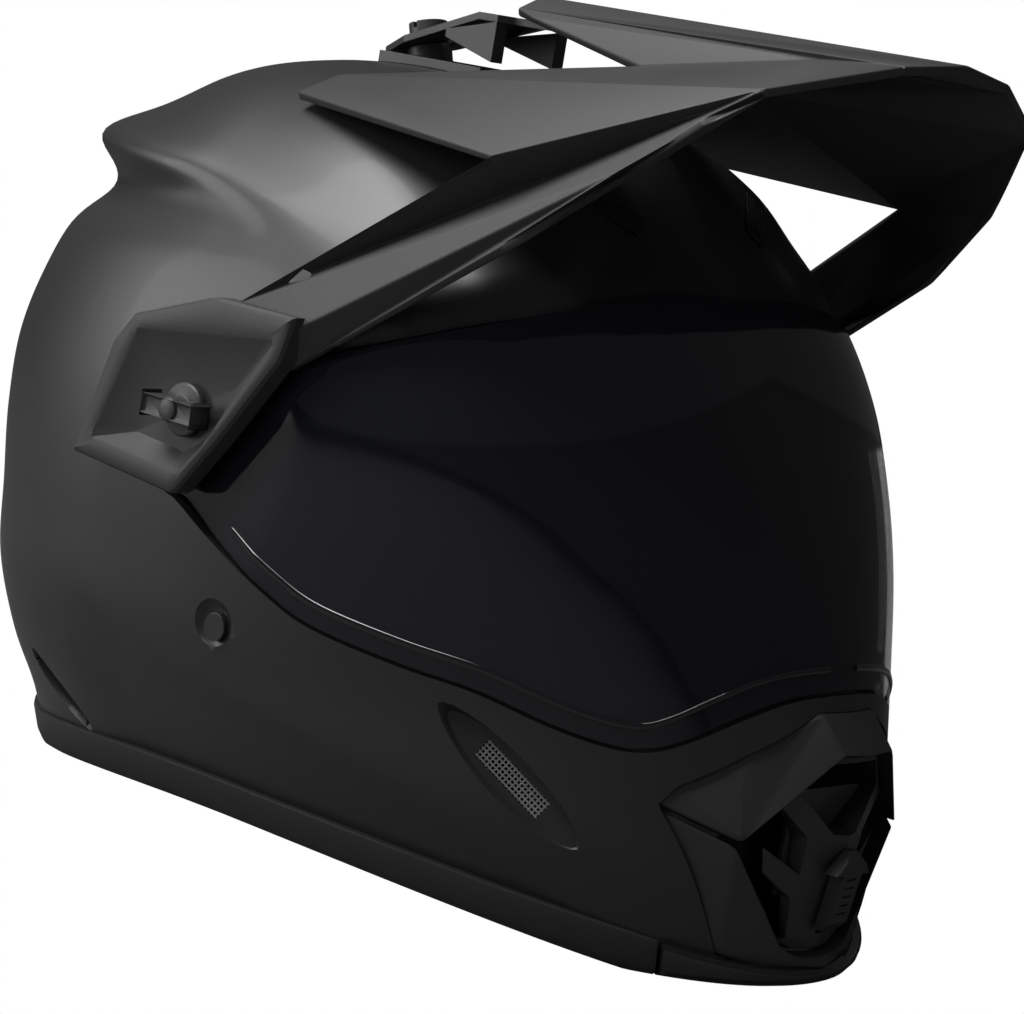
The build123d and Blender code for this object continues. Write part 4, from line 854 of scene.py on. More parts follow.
class Graph:
    """Adds nodes to one material or world."""

    def __init__(self, tree: bpy.types.NodeTree) -> None:
        """Takes the tree that the nodes go into."""
        self.tree = tree

    def add(self, kind: str, values: Optional[Dict[Any, Any]] = None, **settings: Any) -> bpy.types.Node:
        """Adds a node, sets its options and fills its inputs.

        Args:
            kind: the shader node's type.
            values: by input, the socket that is linked to it or the value that is set on it.
            settings: the node's own options.

        Returns:
            The node.
        """
        node = self.tree.nodes.new("ShaderNode" + kind)
        for name, option in settings.items():
            setattr(node, name, option)
        self.fill(node, values or {})
        return node

    def fill(self, node: bpy.types.Node, values: Dict[Any, Any]) -> None:
        """Fills inputs of a node.

        Args:
            node: the node.
            values: by input, the socket that is linked to it or the value that is set on it.
        """
        for name, value in values.items():
            if isinstance(value, bpy.types.NodeSocket):
                self.tree.links.new(value, node.inputs[name])
            else:
                node.inputs[name].default_value = value

    def maths(self, operation: str, *values: Any) -> bpy.types.NodeSocket:
        """Adds a sum of sockets and numbers and returns its result."""
        return self.add("Math", dict(enumerate(values)), operation=operation).outputs[0]

    def span(self, value: bpy.types.NodeSocket, source: Flat, target: Flat) -> bpy.types.NodeSocket:
        """Adds a change from one span of values to another.

        Args:
            value: what is changed.
            source: the first span.
            target: the second one.

        Returns:
            The changed value.
        """
        values = {"Value": value, "From Min": source[0], "From Max": source[1],
                  "To Min": target[0], "To Max": target[1]}
        return self.add("MapRange", values).outputs[0]

    def noise(self, coords: bpy.types.NodeSocket, size: float, detail: float) -> bpy.types.NodeSocket:
        """Adds noise of a size in millimetres and returns its factor."""
        values = {"Vector": coords, "Scale": 1000 / size, "Detail": detail}
        return self.add("TexNoise", values).outputs["Fac"]


@dataclass(frozen=True)
class Finish:
    """A procedural finish.

    Args:
        name: material name.
        slot: the record's material slot; not used.
        colour: base colour, linear.
        second: the colour it varies towards.
        rough: lowest roughness.
        rough_span: how much rougher the grain makes it.
        grain: size of the fine grain in millimetres.
        bump: height of the grain in millimetres.
        blotch: size of the broad colour change in millimetres.
        metal: metallic share.
        coat: clear coat weight.
        round_edge: radius that shading rounds hard edges to, in millimetres.
        weave: thread spacing in millimetres, or none.
        beads: bead size in millimetres, or none.
        sheen: cloth sheen.
        coat_rough: roughness of the clear coat.
    """

    name: str
    slot: str
    colour: Point
    second: Point
    rough: float
    rough_span: float = 0.1
    grain: float = 0.4
    bump: float = 0.02
    blotch: float = 60.0
    metal: float = 0.0
    coat: float = 0.0
    round_edge: float = 0.0
    weave: float = 0.0
    beads: float = 0.0
    sheen: float = 0.0
    coat_rough: float = 0.08

    def build(self) -> bpy.types.Material:
        """Makes the node material of this finish.

        Returns:
            The material.
        """
        material = bpy.data.materials.new(self.name)
        material.use_nodes = True
        material.node_tree.nodes.clear()
        graph = Graph(material.node_tree)
        coords = graph.add("TexCoord").outputs["Object"]
        fine = graph.noise(coords, self.grain, 2)
        half = graph.maths("MULTIPLY", graph.noise(coords, self.blotch, 3), 0.5)
        mask = graph.maths("MULTIPLY_ADD", fine, 0.5, half)
        colour = graph.add("Mix", {"A": (*self.colour, 1), "B": (*self.second, 1), "Factor": mask},
                           data_type="RGBA")
        bump = {"Height": self.relief(graph, coords, fine), "Distance": self.bump / 1000, "Strength": 1.0}
        if self.round_edge:
            bump["Normal"] = graph.add("Bevel", {"Radius": self.round_edge / 1000}, samples=4).outputs[0]
        shader = graph.add("BsdfPrincipled", {
            "Base Color": colour.outputs["Result"],
            "Roughness": graph.span(mask, (0.3, 0.7), (self.rough, self.rough + self.rough_span)),
            "Metallic": self.metal, "Coat Weight": self.coat, "Coat Roughness": self.coat_rough,
            "Sheen Weight": self.sheen, "Normal": graph.add("Bump", bump).outputs[0],
        })
        graph.add("OutputMaterial", {"Surface": shader.outputs[0]})
        return material

    def relief(self, graph: Graph, coords: bpy.types.NodeSocket,
               fine: bpy.types.NodeSocket) -> bpy.types.NodeSocket:
        """Adds the surface's fine relief.

        Args:
            graph: the material's nodes.
            coords: the object's own coordinates.
            fine: the fine grain.

        Returns:
            The height that the bump takes.
        """
        if self.beads:
            values = {"Scale": 1000 / self.beads, "Vector": coords}
            return graph.add("TexVoronoi", values, feature="SMOOTH_F1").outputs["Distance"]
        if not self.weave:
            return fine
        waves = []
        for direction in ((1, 1, 0), (-1, 1, 0.6)):
            along = graph.add("VectorMath", {0: coords, 1: direction}, operation="DOT_PRODUCT")
            turns = graph.maths("MULTIPLY", along.outputs["Value"], 2 * math.pi * 1000 / self.weave)
            waves.append(graph.maths("SINE", turns))
        return graph.maths("MULTIPLY_ADD", *waves, fine)


@dataclass(frozen=True)
class Smoke(Finish):
    """The smoke-tinted shield: see-through below a brow line, opaque above it.

    Args:
        stopped: share of light the lens stops.
        brow: height in millimetres above which it is opaque at the middle.
        blend: height over which it turns opaque, in millimetres.
        slant: how much the brow line falls towards the sides.
    """

    stopped: float = 0.68
    brow: float = 190.0
    blend: float = 2.0
    slant: float = 0.30

    def build(self) -> bpy.types.Material:
        """Makes the node material of the shield.

        Returns:
            The material.
        """
        material = super().build()
        graph = Graph(material.node_tree)
        shader = next(n for n in graph.tree.nodes if n.type == "BSDF_PRINCIPLED")
        axes = graph.add("SeparateXYZ", {0: graph.add("TexCoord").outputs["Object"]}).outputs
        level = graph.maths("MULTIPLY_ADD", graph.maths("ABSOLUTE", axes["X"]), self.slant, axes["Z"])
        line = (self.brow / 1000, (self.brow + self.blend) / 1000)
        graph.fill(shader, {"Alpha": graph.span(level, line, (self.stopped, 1.0))})
        return material


SHELL_PAINT = Finish("shell_paint", "shell_plastic", (0.012, 0.0122, 0.0132), (0.016, 0.0163, 0.0176),
                     0.38, 0.10, 0.5, 0.006, 90, coat=0.06)
PEAK_GRAIN = Finish("peak_grain", "peak_plastic", (0.016, 0.0163, 0.0172), (0.026, 0.0264, 0.0278),
                    0.50, 0.16, 0.55, 0.05, 70)
VENT_SATIN = Finish("vent_satin", "vent_plastic", (0.015, 0.015, 0.016), (0.026, 0.026, 0.0275),
                    0.40, 0.14, 0.5, 0.03, 40, round_edge=0.5)
GLOSS = Finish("gloss_moulding", "gloss_black", (0.008, 0.008, 0.009), (0.012, 0.012, 0.013),
               0.08, 0.05, 2.0, 0.002, 30, coat=0.4)
RUBBER = Finish("rim_rubber_soft", "rim_rubber", (0.012, 0.012, 0.0125), (0.020, 0.020, 0.021),
                0.55, 0.15, 0.4, 0.03, 25, round_edge=0.4)
CLOTH = Finish("lining_cloth", "lining", (0.020, 0.020, 0.023), (0.045, 0.045, 0.052),
               0.85, 0.1, 0.8, 0.16, 18, weave=1.6, sheen=0.3)
WEBBING = Finish("strap_webbing", "webbing", (0.012, 0.012, 0.013), (0.030, 0.030, 0.032),
                 0.75, 0.15, 0.6, 0.2, 12, weave=1.1, sheen=0.2)
FOAM = Finish("bead_foam", "foam", (0.035, 0.035, 0.037), (0.065, 0.065, 0.068),
              0.85, 0.1, 0.9, 0.35, 30, beads=3.2)
STEEL = Finish("brushed_steel", "steel", (0.42, 0.42, 0.43), (0.58, 0.58, 0.60),
               0.28, 0.16, 0.3, 0.008, 20, metal=1.0, round_edge=0.3)
BRASS = Finish("turned_brass", "brass_insert", (0.50, 0.36, 0.15), (0.65, 0.48, 0.22),
               0.3, 0.15, 0.3, 0.01, 15, metal=1.0, round_edge=0.3)
FILTER = Finish("filter_foam", "mesh", (0.004, 0.004, 0.004), (0.009, 0.009, 0.009),
                0.9, 0.1, 0.9, 0.4, 10, beads=1.4)
MESH = Finish("mesh_black", "mesh", (0.010, 0.010, 0.011), (0.018, 0.018, 0.019),
              0.5, 0.15, 0.3, 0.02, 15, round_edge=0.2)
# Metal mesh for the cheek vents, painted much paler than the rear and forehead meshes of the same kind: the
# paleness is a painted highlight.
MESH_PAINTED_HIGHLIGHT = Finish("mesh_metal_painted_highlight", "mesh", (0.30, 0.30, 0.31), (0.48, 0.48, 0.50),
                   0.35, 0.15, 0.3, 0.02, 15, metal=0.8, round_edge=0.2)
RIVET = Finish("rivet_gloss", "vent_plastic", (0.010, 0.010, 0.011), (0.016, 0.016, 0.017),
               0.12, 0.06, 1.5, 0.003, 25, coat=0.3, round_edge=0.4)
SMOKE = Smoke("shield_smoke", "shield_clear", (0.006, 0.0065, 0.009), (0.008, 0.0085, 0.012),
              0.035, 0.02, 3.0, 0.0006, 80, coat=0.3)
SHIELD_LINE = Finish("shield_line", "shield_clear", (0.006, 0.0065, 0.008), (0.009, 0.0095, 0.011),
                     0.05, 0.03, 2.0, 0.001, 40, coat=0.3)


class Library:
    """Builds each finish once and paints pieces with it."""

    made: Dict[str, bpy.types.Material] = {}

    @classmethod
    def paint(cls, obj: bpy.types.Object, finish: Finish) -> None:
        """Gives an object a finish.

        Args:
            obj: the object.
            finish: its finish, built at its first use.
        """
        if finish.name not in cls.made:
            cls.made[finish.name] = finish.build()
        obj.data.materials.clear()
        obj.data.materials.append(cls.made[finish.name])


@dataclass
class SubAssembly:
    """A group of pieces that ride on one body.

    Args:
        body: the CAD body.
        pieces: the finished objects.
    """

    body: str
    pieces: List[bpy.types.Object] = field(default_factory=list)

    def add(self, obj: bpy.types.Object, finish: Finish, *nodes: str) -> bpy.types.Object:
        """Paints a piece, makes it ride and hides the CAD nodes that it stands for.

        Args:
            obj: the piece.
            finish: its finish.
            nodes: the CAD nodes that it replaces.

        Returns:
            The piece.
        """
        Library.paint(obj, finish)
        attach(obj, self.body)
        if nodes:
            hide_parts(*nodes)
        self.pieces.append(obj)
        LOG.info("piece %s, %d faces", obj.name, len(obj.data.polygons))
        return obj


@dataclass(frozen=True)
class SmallVent:
    """One kind of small vent, which both sides have.

    Args:
        name: the vent's name.
        spot: reach and height of its middle.
        tilt: how far its length is turned from level, in degrees.
        recess: length and width of its recess.
        through: length and width of the mesh in the recess's floor.
        finish: the mesh's finish.
    """

    name: str
    spot: Flat
    tilt: float
    recess: Flat
    through: Flat
    finish: Finish


SMALL_VENTS = [
    # The cheek vent's mesh takes the finish with the painted highlight; the rear and forehead meshes keep
    # their own dark colour.
    SmallVent("cheek", (-0.640 * FRONT, 0.208 * HEIGHT), 35.0, (66, 15), (30, 9), MESH_PAINTED_HIGHLIGHT),
    SmallVent("rear", (0.464 * REAR, 0.121 * HEIGHT), 40.0, (40, 11), (34, 8), MESH),
    SmallVent("forehead", (-0.452 * FRONT, 0.886 * HEIGHT), 35.0, (50, 14), (30, 9), MESH),
]


@dataclass
class Shell(SubAssembly):
    """The painted shell with its openings, and the seat under the shield.

    Args:
        wall: the shell's thickness.
        shield_gap: how much larger its opening is than the shield.
        trim_lap: how far it runs down behind the trim.
        plate_lap: how far it runs in behind the peak's plates.
        plate_face: half width at which it is cut for them.
        vent_gap: how much larger the chin's opening is than the vent.
        reach: front and rear ends of the tools.
        seam_start: reach of the first step along the seam.
        seam_step: length of each of these steps.
        seat: insets of the seat's faces.
        seat_flats: half widths at which these faces go flat.
        seat_lap: how far the seat runs out past the shield.
        port_lap: how far it runs in from the shield's edge.
        tuck_depth: how far the surface lies in under the side ridge.
        tuck_front: reaches between which this grows.
        tuck_rear: reaches between which it ends.
        tuck_fold: height of the ridge's underside.
        brow_fade: reaches before the pivots between which the brow lies in.
        brow_low: height above which it may lie in.
        sweep_gap: room under the shield's sweep.
        brow_extra: more of it at the brow.
        brow_most: the most that the brow lies in.
        rivet: reach and height of the strap's rivet.
        recess_floor: height over the skin of the recesses' floor, and its share of their size.
        recess_mouth: the same for the far end of the tool that cuts them.
        mesh_seat: how far the floor laps over the mesh.
        mesh_cut: heights between which the floor is open.
        wire: pitch and thickness of the meshes' wires.
        mesh_depth: how far in the meshes lie.
        mesh_weave: how far the second wires lie behind the first.
    """

    body: str = "helmet"
    wall: float = 4.5
    shield_gap: float = 1.4
    trim_lap: float = 3.0
    plate_lap: float = 1.5
    plate_face: float = 120.4
    vent_gap: float = 0.3
    reach: Flat = (-240.0, 200.0)
    seam_start: float = 112.0
    seam_step: float = 8.5
    seat: Flat = (3.0, 5.0)
    seat_flats: Flat = (120.3, 118.5)
    seat_lap: float = 3.0
    port_lap: float = 12.0
    tuck_depth: float = 1.6
    tuck_front: Flat = (-178, -120)
    tuck_rear: Flat = (30, 62)
    tuck_fold: float = 5
    brow_fade: Flat = (4, 24)
    brow_low: float = 168
    sweep_gap: float = 3.2
    brow_extra: float = 0.4
    brow_most: float = 4.0
    rivet: Flat = (-19, 81)
    recess_floor: Flat = (-3.4, 0.90)
    recess_mouth: Flat = (12.0, 1.5)
    mesh_seat: float = 0.8
    mesh_cut: Flat = (-16, 6)
    wire: Flat = (1.5, 0.5)
    mesh_depth: float = 3.9
    mesh_weave: float = 0.3

    def tuck(self, place: Point) -> float:
        """Works out where the surface lies in, under the side ridge and at the brow.

        Args:
            place: a place on the plain skin.

        Returns:
            How far it lies in there.
        """
        _, y, z = place
        line = between(y, sorted(RIDGE_LINE))
        fade = ease(y, *self.tuck_front) * (1 - ease(y, *self.tuck_rear))
        return self.tuck_depth * fade * (1 - ease(z, line - self.tuck_fold, line)) + self.brow_room(place)

    def brow_room(self, place: Point) -> float:
        """Works out the room that the opening shield needs at the brow.

        Args:
            place: a place on the plain skin.

        Returns:
            How far the brow lies in there.
        """
        x, y, z = place
        if y > -self.brow_fade[0] or z < self.brow_low:
            return 0.0
        profile = sorted((Skin.side_x(a, b), math.hypot(a, b - PIVOT_Z) - self.sweep_gap)
                         for a, b in SHIELD_UPPER[1:-1])
        profile[0] = (0.0, profile[0][1])
        spare = math.hypot(y, z - PIVOT_Z) - between(abs(x), profile)
        return min(max(spare + self.brow_extra, 0), self.brow_most) * ease(-y, *self.brow_fade)

    def build(self) -> None:
        """Makes the shell, the meshes in its vents and the seat."""
        outline = shield_outline()
        shell = Make.wall("shell_body", (0.0, self.wall), True, extra=self.tuck)
        Make.boolean(shell, Make.side_block(grown(outline, self.shield_gap)))
        Make.boolean(shell, Make.side_block(self.below_seam()))
        for side in Side:
            ends = sorted((side.value * self.plate_face, side.value * FAR))
            Make.boolean(shell, Make.side_block(grown(PLATE, -self.plate_lap), *ends))
            for vent in SMALL_VENTS:
                plane = Skin.plane(*vent.spot, side, vent.tilt)
                self.open_vent(shell, plane, vent)
                self.vent_mesh(f"{vent.name}_vent_mesh_{side.word}", plane, vent)
            self.dimple(shell, side)
        corners = [FRAME["low"], FRAME["low_side"], FRAME["side"], COWL["side"], COWL["side_top"],
                   COWL["brow"], COWL["top"]]
        mouth = grown(MouthVent.outline(corners), self.vent_gap)
        Make.boolean(shell, Make.front_block(mouth, -120, self.reach[0]))
        self.add(shell, SHELL_PAINT, "outer_shell")
        seat = Make.wall("shield_seat", self.seat, False, self.seat_flats, 160, 84)
        Make.boolean(seat, Make.side_block(grown(outline, self.seat_lap)), "INTERSECT")
        port = [p for p in grown(outline, -self.port_lap) if p[0] < -EAR_R]
        Make.boolean(seat, Make.side_block(port))
        self.add(seat, VENT_SATIN)

    def below_seam(self) -> List[Flat]:
        """Draws what lies below the shell's lower edge, seen from the side.

        Returns:
            The closed outline's corners.
        """
        front, rear = self.reach
        along = [rear] + [self.seam_start - self.seam_step * k for k in range(32)]
        along += [Base.chin, Base.chin - Base.chin_length, front]
        return [(y, Base.seam(y) - self.trim_lap) for y in along] + [(front, -30), (rear, -30)]

    def open_vent(self, shell: bpy.types.Object, plane: Matrix, vent: SmallVent) -> None:
        """Cuts a pointed recess with sloping walls and the opening in its floor.

        Args:
            shell: the piece that is cut.
            plane: where the vent lies.
            vent: its sizes.
        """
        steps = 24
        rings = []
        for height, grow in (self.recess_floor, self.recess_mouth):
            ring = []
            for k in range(steps):
                t = 2 * math.pi * k / steps
                u = math.cos(t) * vent.recess[0] / 2 * grow
                v = power_wave(math.sin(t), 1.2) * vent.recess[1] / 2 * grow
                ring.append(plane @ Vector((u / 1000, v / 1000, height / 1000)))
            rings.append(ring)
        Make.boolean(shell, Make.loft("tool", rings))
        length, width = [size - 2 * self.mesh_seat for size in vent.through]
        low, high = self.mesh_cut
        middle = plane @ Matrix.Translation((0, 0, (low + high) / 2000))
        Make.boolean(shell, Make.box((length, width, high - low), middle))

    def vent_mesh(self, node: str, plane: Matrix, vent: SmallVent) -> None:
        """Adds the woven mesh in a vent's floor.

        Args:
            node: the CAD node that it stands for.
            plane: where the vent lies.
            vent: its sizes and its mesh's finish.
        """
        pitch, wire = self.wire
        bm = bmesh.new()
        for axis in (0, 1):
            across = vent.through[1 - axis]
            count = int(across / pitch)
            for k in range(count + 1):
                spot = [0.0, 0.0, -(self.mesh_depth + axis * self.mesh_weave) / 1000]
                spot[1 - axis] = (k / count - 0.5) * across / 1000
                size = [wire / 1000] * 3
                size[axis] = vent.through[axis] / 1000
                placed = plane @ Matrix.Translation(spot) @ Matrix.Diagonal((*size, 1))
                bmesh.ops.create_cube(bm, size=1.0, matrix=placed)
        self.add(Make.obj(f"{node}_woven", bm), vent.finish, node)

    def dimple(self, shell: bpy.types.Object, side: Side) -> None:
        """Cuts the soft dimple round the strap's rivet.

        Args:
            shell: the piece that is cut.
            side: which side it lies on.
        """
        profile = [(0.2, -2.0), (6.0, -1.3), (7.5, -0.6), (9.5, 1.2), (12.0, 6.0)]
        centre = (side.value * Skin.side_x(*self.rivet), *self.rivet)
        Make.boolean(shell, Make.lathe("tool", profile, centre, side.outwards, 40))


@dataclass
class Shield(SubAssembly):
    """The smoke shield with its raised line along the lower edge.

    Args:
        insets: insets of the lens's faces.
        flats: half widths at which these faces go flat at the ears.
        hole: radius and half length of the pivot holes' tool.
        hole_x: where it stands.
        line_in: how far the raised line lies in from the lower edge.
        line_size: half height and half width of the raised line.
        line_end: half width at which it stops at the nose.
        line_lean: reach of the oval that it leans on, and its share of the front.
    """

    body: str = "shield"
    insets: Flat = (0.0, 2.2)
    flats: Flat = (123.2, 121.0)
    hole: Flat = (9.1, 10)
    hole_x: float = 122
    line_in: float = 7
    line_size: Flat = (0.75, 1.3)
    line_end: float = 3
    line_lean: Flat = (8, 0.95)

    def build(self) -> None:
        """Makes the lens and its raised line."""
        lens = Make.wall("shield_lens_smoke", self.insets, False, self.flats, 240, 120)
        Make.boolean(lens, Make.side_block(shield_outline()), "INTERSECT", 40)
        radius, half = self.hole
        for side in Side:
            centre = (side.value * self.hole_x, 0, PIVOT_Z)
            tool = Make.lathe("tool", [(radius, -half), (radius, half)], centre, side.outwards)
            Make.boolean(lens, tool, smooth=40)
        self.add(lens, SMOKE, "shield_lens")
        for side in Side:
            self.add(self.bead(side), SHIELD_LINE)

    def bead(self, side: Side) -> bpy.types.Object:
        """Makes the low raised line that follows the lower edge of the lens.

        Args:
            side: which side it lies on.

        Returns:
            The line.
        """
        lower = curve_through(SHIELD_LOWER[1:-1], 8)
        high, wide = self.line_size
        around = 10
        rings = []
        for i, (y, z) in enumerate(lower):
            a, b = lower[max(i - 1, 0)], lower[min(i + 1, len(lower) - 1)]
            dy, dz = b[0] - a[0], b[1] - a[1]
            length = math.hypot(dy, dz)
            y, z = y + self.line_in * dz / length, z - self.line_in * dy / length
            x = min(Skin.side_x(y, z), self.flats[0])
            if x < self.line_end:
                continue
            centre = Vector((x, y, z))
            middle, share = self.line_lean
            normal = Vector((x / HALF**2, (y - middle) / (FRONT * share) ** 2, 0)).normalized()
            ring = []
            for k in range(around):
                t = 2 * math.pi * k / around
                p = centre + normal * (high * math.sin(t)) + Vector((0, 0, wide * math.cos(t)))
                ring.append(Place.at(side.value * p.x, p.y, p.z))
            rings.append(ring)
        return Make.loft(f"shield_line_{side.word}", rings, 60)


@dataclass
class Rim(SubAssembly):
    """The rubber trim round the base and the glossy bumper under the chin.

    Args:
        parting: reach at which the two meet.
        gap: half of the gap between them, in radians.
        proud: how far the trim and the bumper stand out of the skin.
    """

    body: str = "helmet"
    parting: float = -168
    gap: float = 0.004
    proud: Flat = (1.8, 4.0)

    @staticmethod
    def section(proud: float, turn: float) -> List[Vector]:
        """Draws the cross-section at an angle round the helmet.

        Args:
            proud: how far it stands out of the skin.
            turn: the angle, in radians.

        Returns:
            The section's places.
        """
        y = Skin.point(turn, 0.06, 0, False)[1]
        top, low = Base.seam(y), Base.arch(y)
        if y < Base.chin:
            low = 0
        shape = [
            (0.3, top), (-proud * 0.7, top - 0.6), (-proud, top - 2.2), (-proud, low + 4.5),
            (-proud * 0.6, low + 1.6), (1.2, low + 0.2), (6.5, low + 0.2), (8.6, low + 2.0),
            (9.0, low + 5.0), (9.0, top - 2.0), (7.5, top - 0.4), (4.9, top - 0.2),
        ]
        return [Place.at(*Skin.point(turn, z / HEIGHT, inset, False)) for inset, z in shape]

    def build(self) -> None:
        """Makes both rim pieces."""
        front = Skin.turn_at(self.parting, 0.05, 0)
        ends = (front + self.gap, math.pi - front - self.gap)
        chin = (math.pi - front + self.gap, 2 * math.pi + front - self.gap)
        for name, (start, end), proud, finish, node, steps in (
            ("trim_rubber", ends, self.proud[0], RUBBER, "base_trim", 260),
            ("bumper_gloss", chin, self.proud[1], GLOSS, "chin_bumper", 90),
        ):
            rings = [self.section(proud, start + (end - start) * k / steps) for k in range(steps + 1)]
            self.add(Make.loft(name, rings, 50), finish, node)


@dataclass
class Peak(SubAssembly):
    """The folded peak with its side plates.

    Args:
        scale: the sheet's half width, reach and height over the pivots.
        wall: its thickness.
        fold: radius of its folds.
        arm_r: radius at which its arms end round the pivots.
        arm_x: half width up to which they are cut there.
        plate_x: half widths of the plates' back, edge, rounding and face.
        plate_round: how far in the rounding and the face start.
        basin_x: half widths of the basins' rim and floor.
        basin_round: how far the rim's rounding runs out.
        hole_r: radius of the plates' screw holes.
    """

    body: str = "sun_peak"
    scale: Point = (132, 189, 152)
    wall: float = 3.0
    fold: float = 1.2
    arm_r: float = 64.0
    arm_x: float = 123.5
    plate_x: Tuple[float, float, float, float] = (127.6, 134.2, 135.4, 136)
    plate_round: Flat = (0.8, 2.2)
    basin_x: Flat = (135.6, 130.6)
    basin_round: float = 0.9
    hole_r: float = 3.05

    def build(self) -> None:
        """Makes the folded sheet and both plates as one node's stand-in."""
        sheet = Make.facets("peak_sheet", PEAK, PEAK_FACETS, self.scale, PIVOT_Z, self.wall, bevel=self.fold)
        for side in Side:
            profile = [(self.arm_r, -130), (self.arm_r, self.arm_x)]
            tool = Make.lathe("tool", profile, (0, 0, PIVOT_Z), side.outwards, 72)
            Make.boolean(sheet, tool, smooth=30)
        self.add(sheet, PEAK_GRAIN, "peak")
        for side in Side:
            self.add(self.plate(side), PEAK_GRAIN)

    def plate(self, side: Side) -> bpy.types.Object:
        """Makes the five-sided plate with its basin over one pivot.

        Args:
            side: which side it lies on.

        Returns:
            The plate.
        """
        outer, inner, low = [resampled(shape, 80) for shape in (PLATE, BASIN_TOP, BASIN_FLOOR)]
        back, edge, rounding, face = self.plate_x
        rim, floor = self.basin_x
        steps = [(outer, back), (outer, edge), (grown(outer, -self.plate_round[0]), rounding),
                 (grown(outer, -self.plate_round[1]), face), (grown(inner, self.basin_round), face),
                 (inner, rim), (low, floor)]
        rings = [[Place.at(side.value * x, y, z) for y, z in points] for points, x in steps]
        plate = Make.loft(f"peak_plate_{side.word}", rings, 24)
        profile = [(self.hole_r, -20), (self.hole_r, 20)]
        hole = Make.lathe("tool", profile, (side.value * 130, 0, PIVOT_Z), side.outwards, 40)
        return Make.boolean(plate, hole, smooth=24)


@dataclass
class MouthVent(SubAssembly):
    """The cowl, frame and grille at the chin.

    Args:
        depth: how far the cowl and the frame run back.
        grille_depth: how far the grille's blank runs back.
        grille_back: where it is cut off.
        through: start and end of the windows' tools.
        slot: half width, foot and top of the slider's slot.
        filter_lap: how far the filter runs out past the grille.
        filter_ends: its rear and front faces.
    """

    body: str = "helmet"
    depth: float = 11
    grille_depth: float = 24
    grille_back: float = -186
    through: Flat = (-160, -240)
    slot: Point = (2.1, 17.8, 32.2)
    filter_lap: float = 3.0
    filter_ends: Flat = (-172, -169.5)

    @staticmethod
    def outline(corners: Sequence[Point]) -> List[Flat]:
        """Returns a front view through some of the vent's corners, given as shares."""
        return both_halves([(x * VENT[0], z * VENT[2]) for x, _, z in corners])

    def build(self) -> None:
        """Makes the three fixed vent pieces and the filter behind them."""
        for name, shares, loops, node in (
            ("vent_cowl_form", COWL, COWL_FACETS, "mouth_vent_cowl"),
            ("vent_frame_form", FRAME, FRAME_FACETS, "mouth_vent_frame"),
        ):
            self.add(Make.facets(name, shares, loops, VENT, depth=self.depth), VENT_SATIN, node)
        grille = Make.facets("vent_grille_form", GRILLE, GRILLE_FACETS, VENT, depth=self.grille_depth,
                             bevel=0.6)
        half, _, height = VENT
        box = [(-half, 0), (half, 0), (half, height), (-half, height)]
        Make.boolean(grille, Make.front_block(box, self.grille_back, self.through[1]), "INTERSECT", 30)
        holes = [[(-x * half, z * height) for x, z in MIDDLE_WINDOW]]
        holes += [[(side.value * x * half, z * height) for x, z in window]
                  for window in SIDE_WINDOWS for side in Side]
        wide, foot, top = self.slot
        holes.append([(-wide, foot), (wide, foot), (wide, top), (-wide, top)])
        for hole in holes:
            Make.boolean(grille, Make.front_block(hole, *self.through), smooth=30)
        self.add(grille, VENT_SATIN, "mouth_vent_grille")
        edge = self.outline([GRILLE[key] for key in ("base", "low", "side", "top")])
        panel = Make.front_block(grown(edge, self.filter_lap), *self.filter_ends)
        panel.name = "vent_filter"
        self.add(panel, FILTER)


@dataclass
class Knob(SubAssembly):
    """A hand knob on one pivot.

    Args:
        side: which side it stands on.
        seat_x: where its disc starts.
        bar_x: the middle of its grip bar.
        bar: the bar's height, length and width.
        bar_round: radius of the bar's edges.
    """

    side: Side = Side.RIGHT
    seat_x: float = 130.55
    bar_x: float = 136.7
    bar: Point = (6.2, 24, 6.5)
    bar_round: float = 1.2

    def build(self) -> None:
        """Makes the disc, its grip bar and the hub as one turned and joined form."""
        profile = [(3.0, -21.9), (3.0, 0.0), (8.4, 0.0), (9.0, 0.5), (9.0, 2.6), (8.5, 3.2), (7.6, 3.4),
                   (4.8, 3.4), (4.4, 3.6), (4.2, 4.2), (4.2, 9.2), (3.8, 10.0), (2.9, 10.4), (0.8, 10.4)]
        centre = (self.side.value * self.seat_x, 0, PIVOT_Z)
        knob = Make.lathe(f"knob_{self.side.word}", profile, centre, self.side.outwards, 72)
        Make.boolean(knob, self.grip(), "UNION", 30)
        self.add(knob, VENT_SATIN, f"side_knob_{self.side.word}")

    def grip(self) -> bpy.types.Object:
        """Makes the grip bar with its rounded edges.

        Returns:
            The bar, as a tool that the turned form is joined with.
        """
        height, length, width = self.bar
        bm = bmesh.new()
        bmesh.ops.create_cube(bm, size=1.0)
        for v in bm.verts:
            x = self.side.value * (self.bar_x + v.co.x * height)
            v.co = Place.at(x, v.co.y * length, PIVOT_Z + v.co.z * width)
        bmesh.ops.bevel(bm, geom=list(bm.edges), offset=self.bar_round / 1000, offset_type="OFFSET",
                        affect="EDGES", segments=3, profile=0.5, clamp_overlap=True, material=-1)
        return Make.obj("tool", bm)


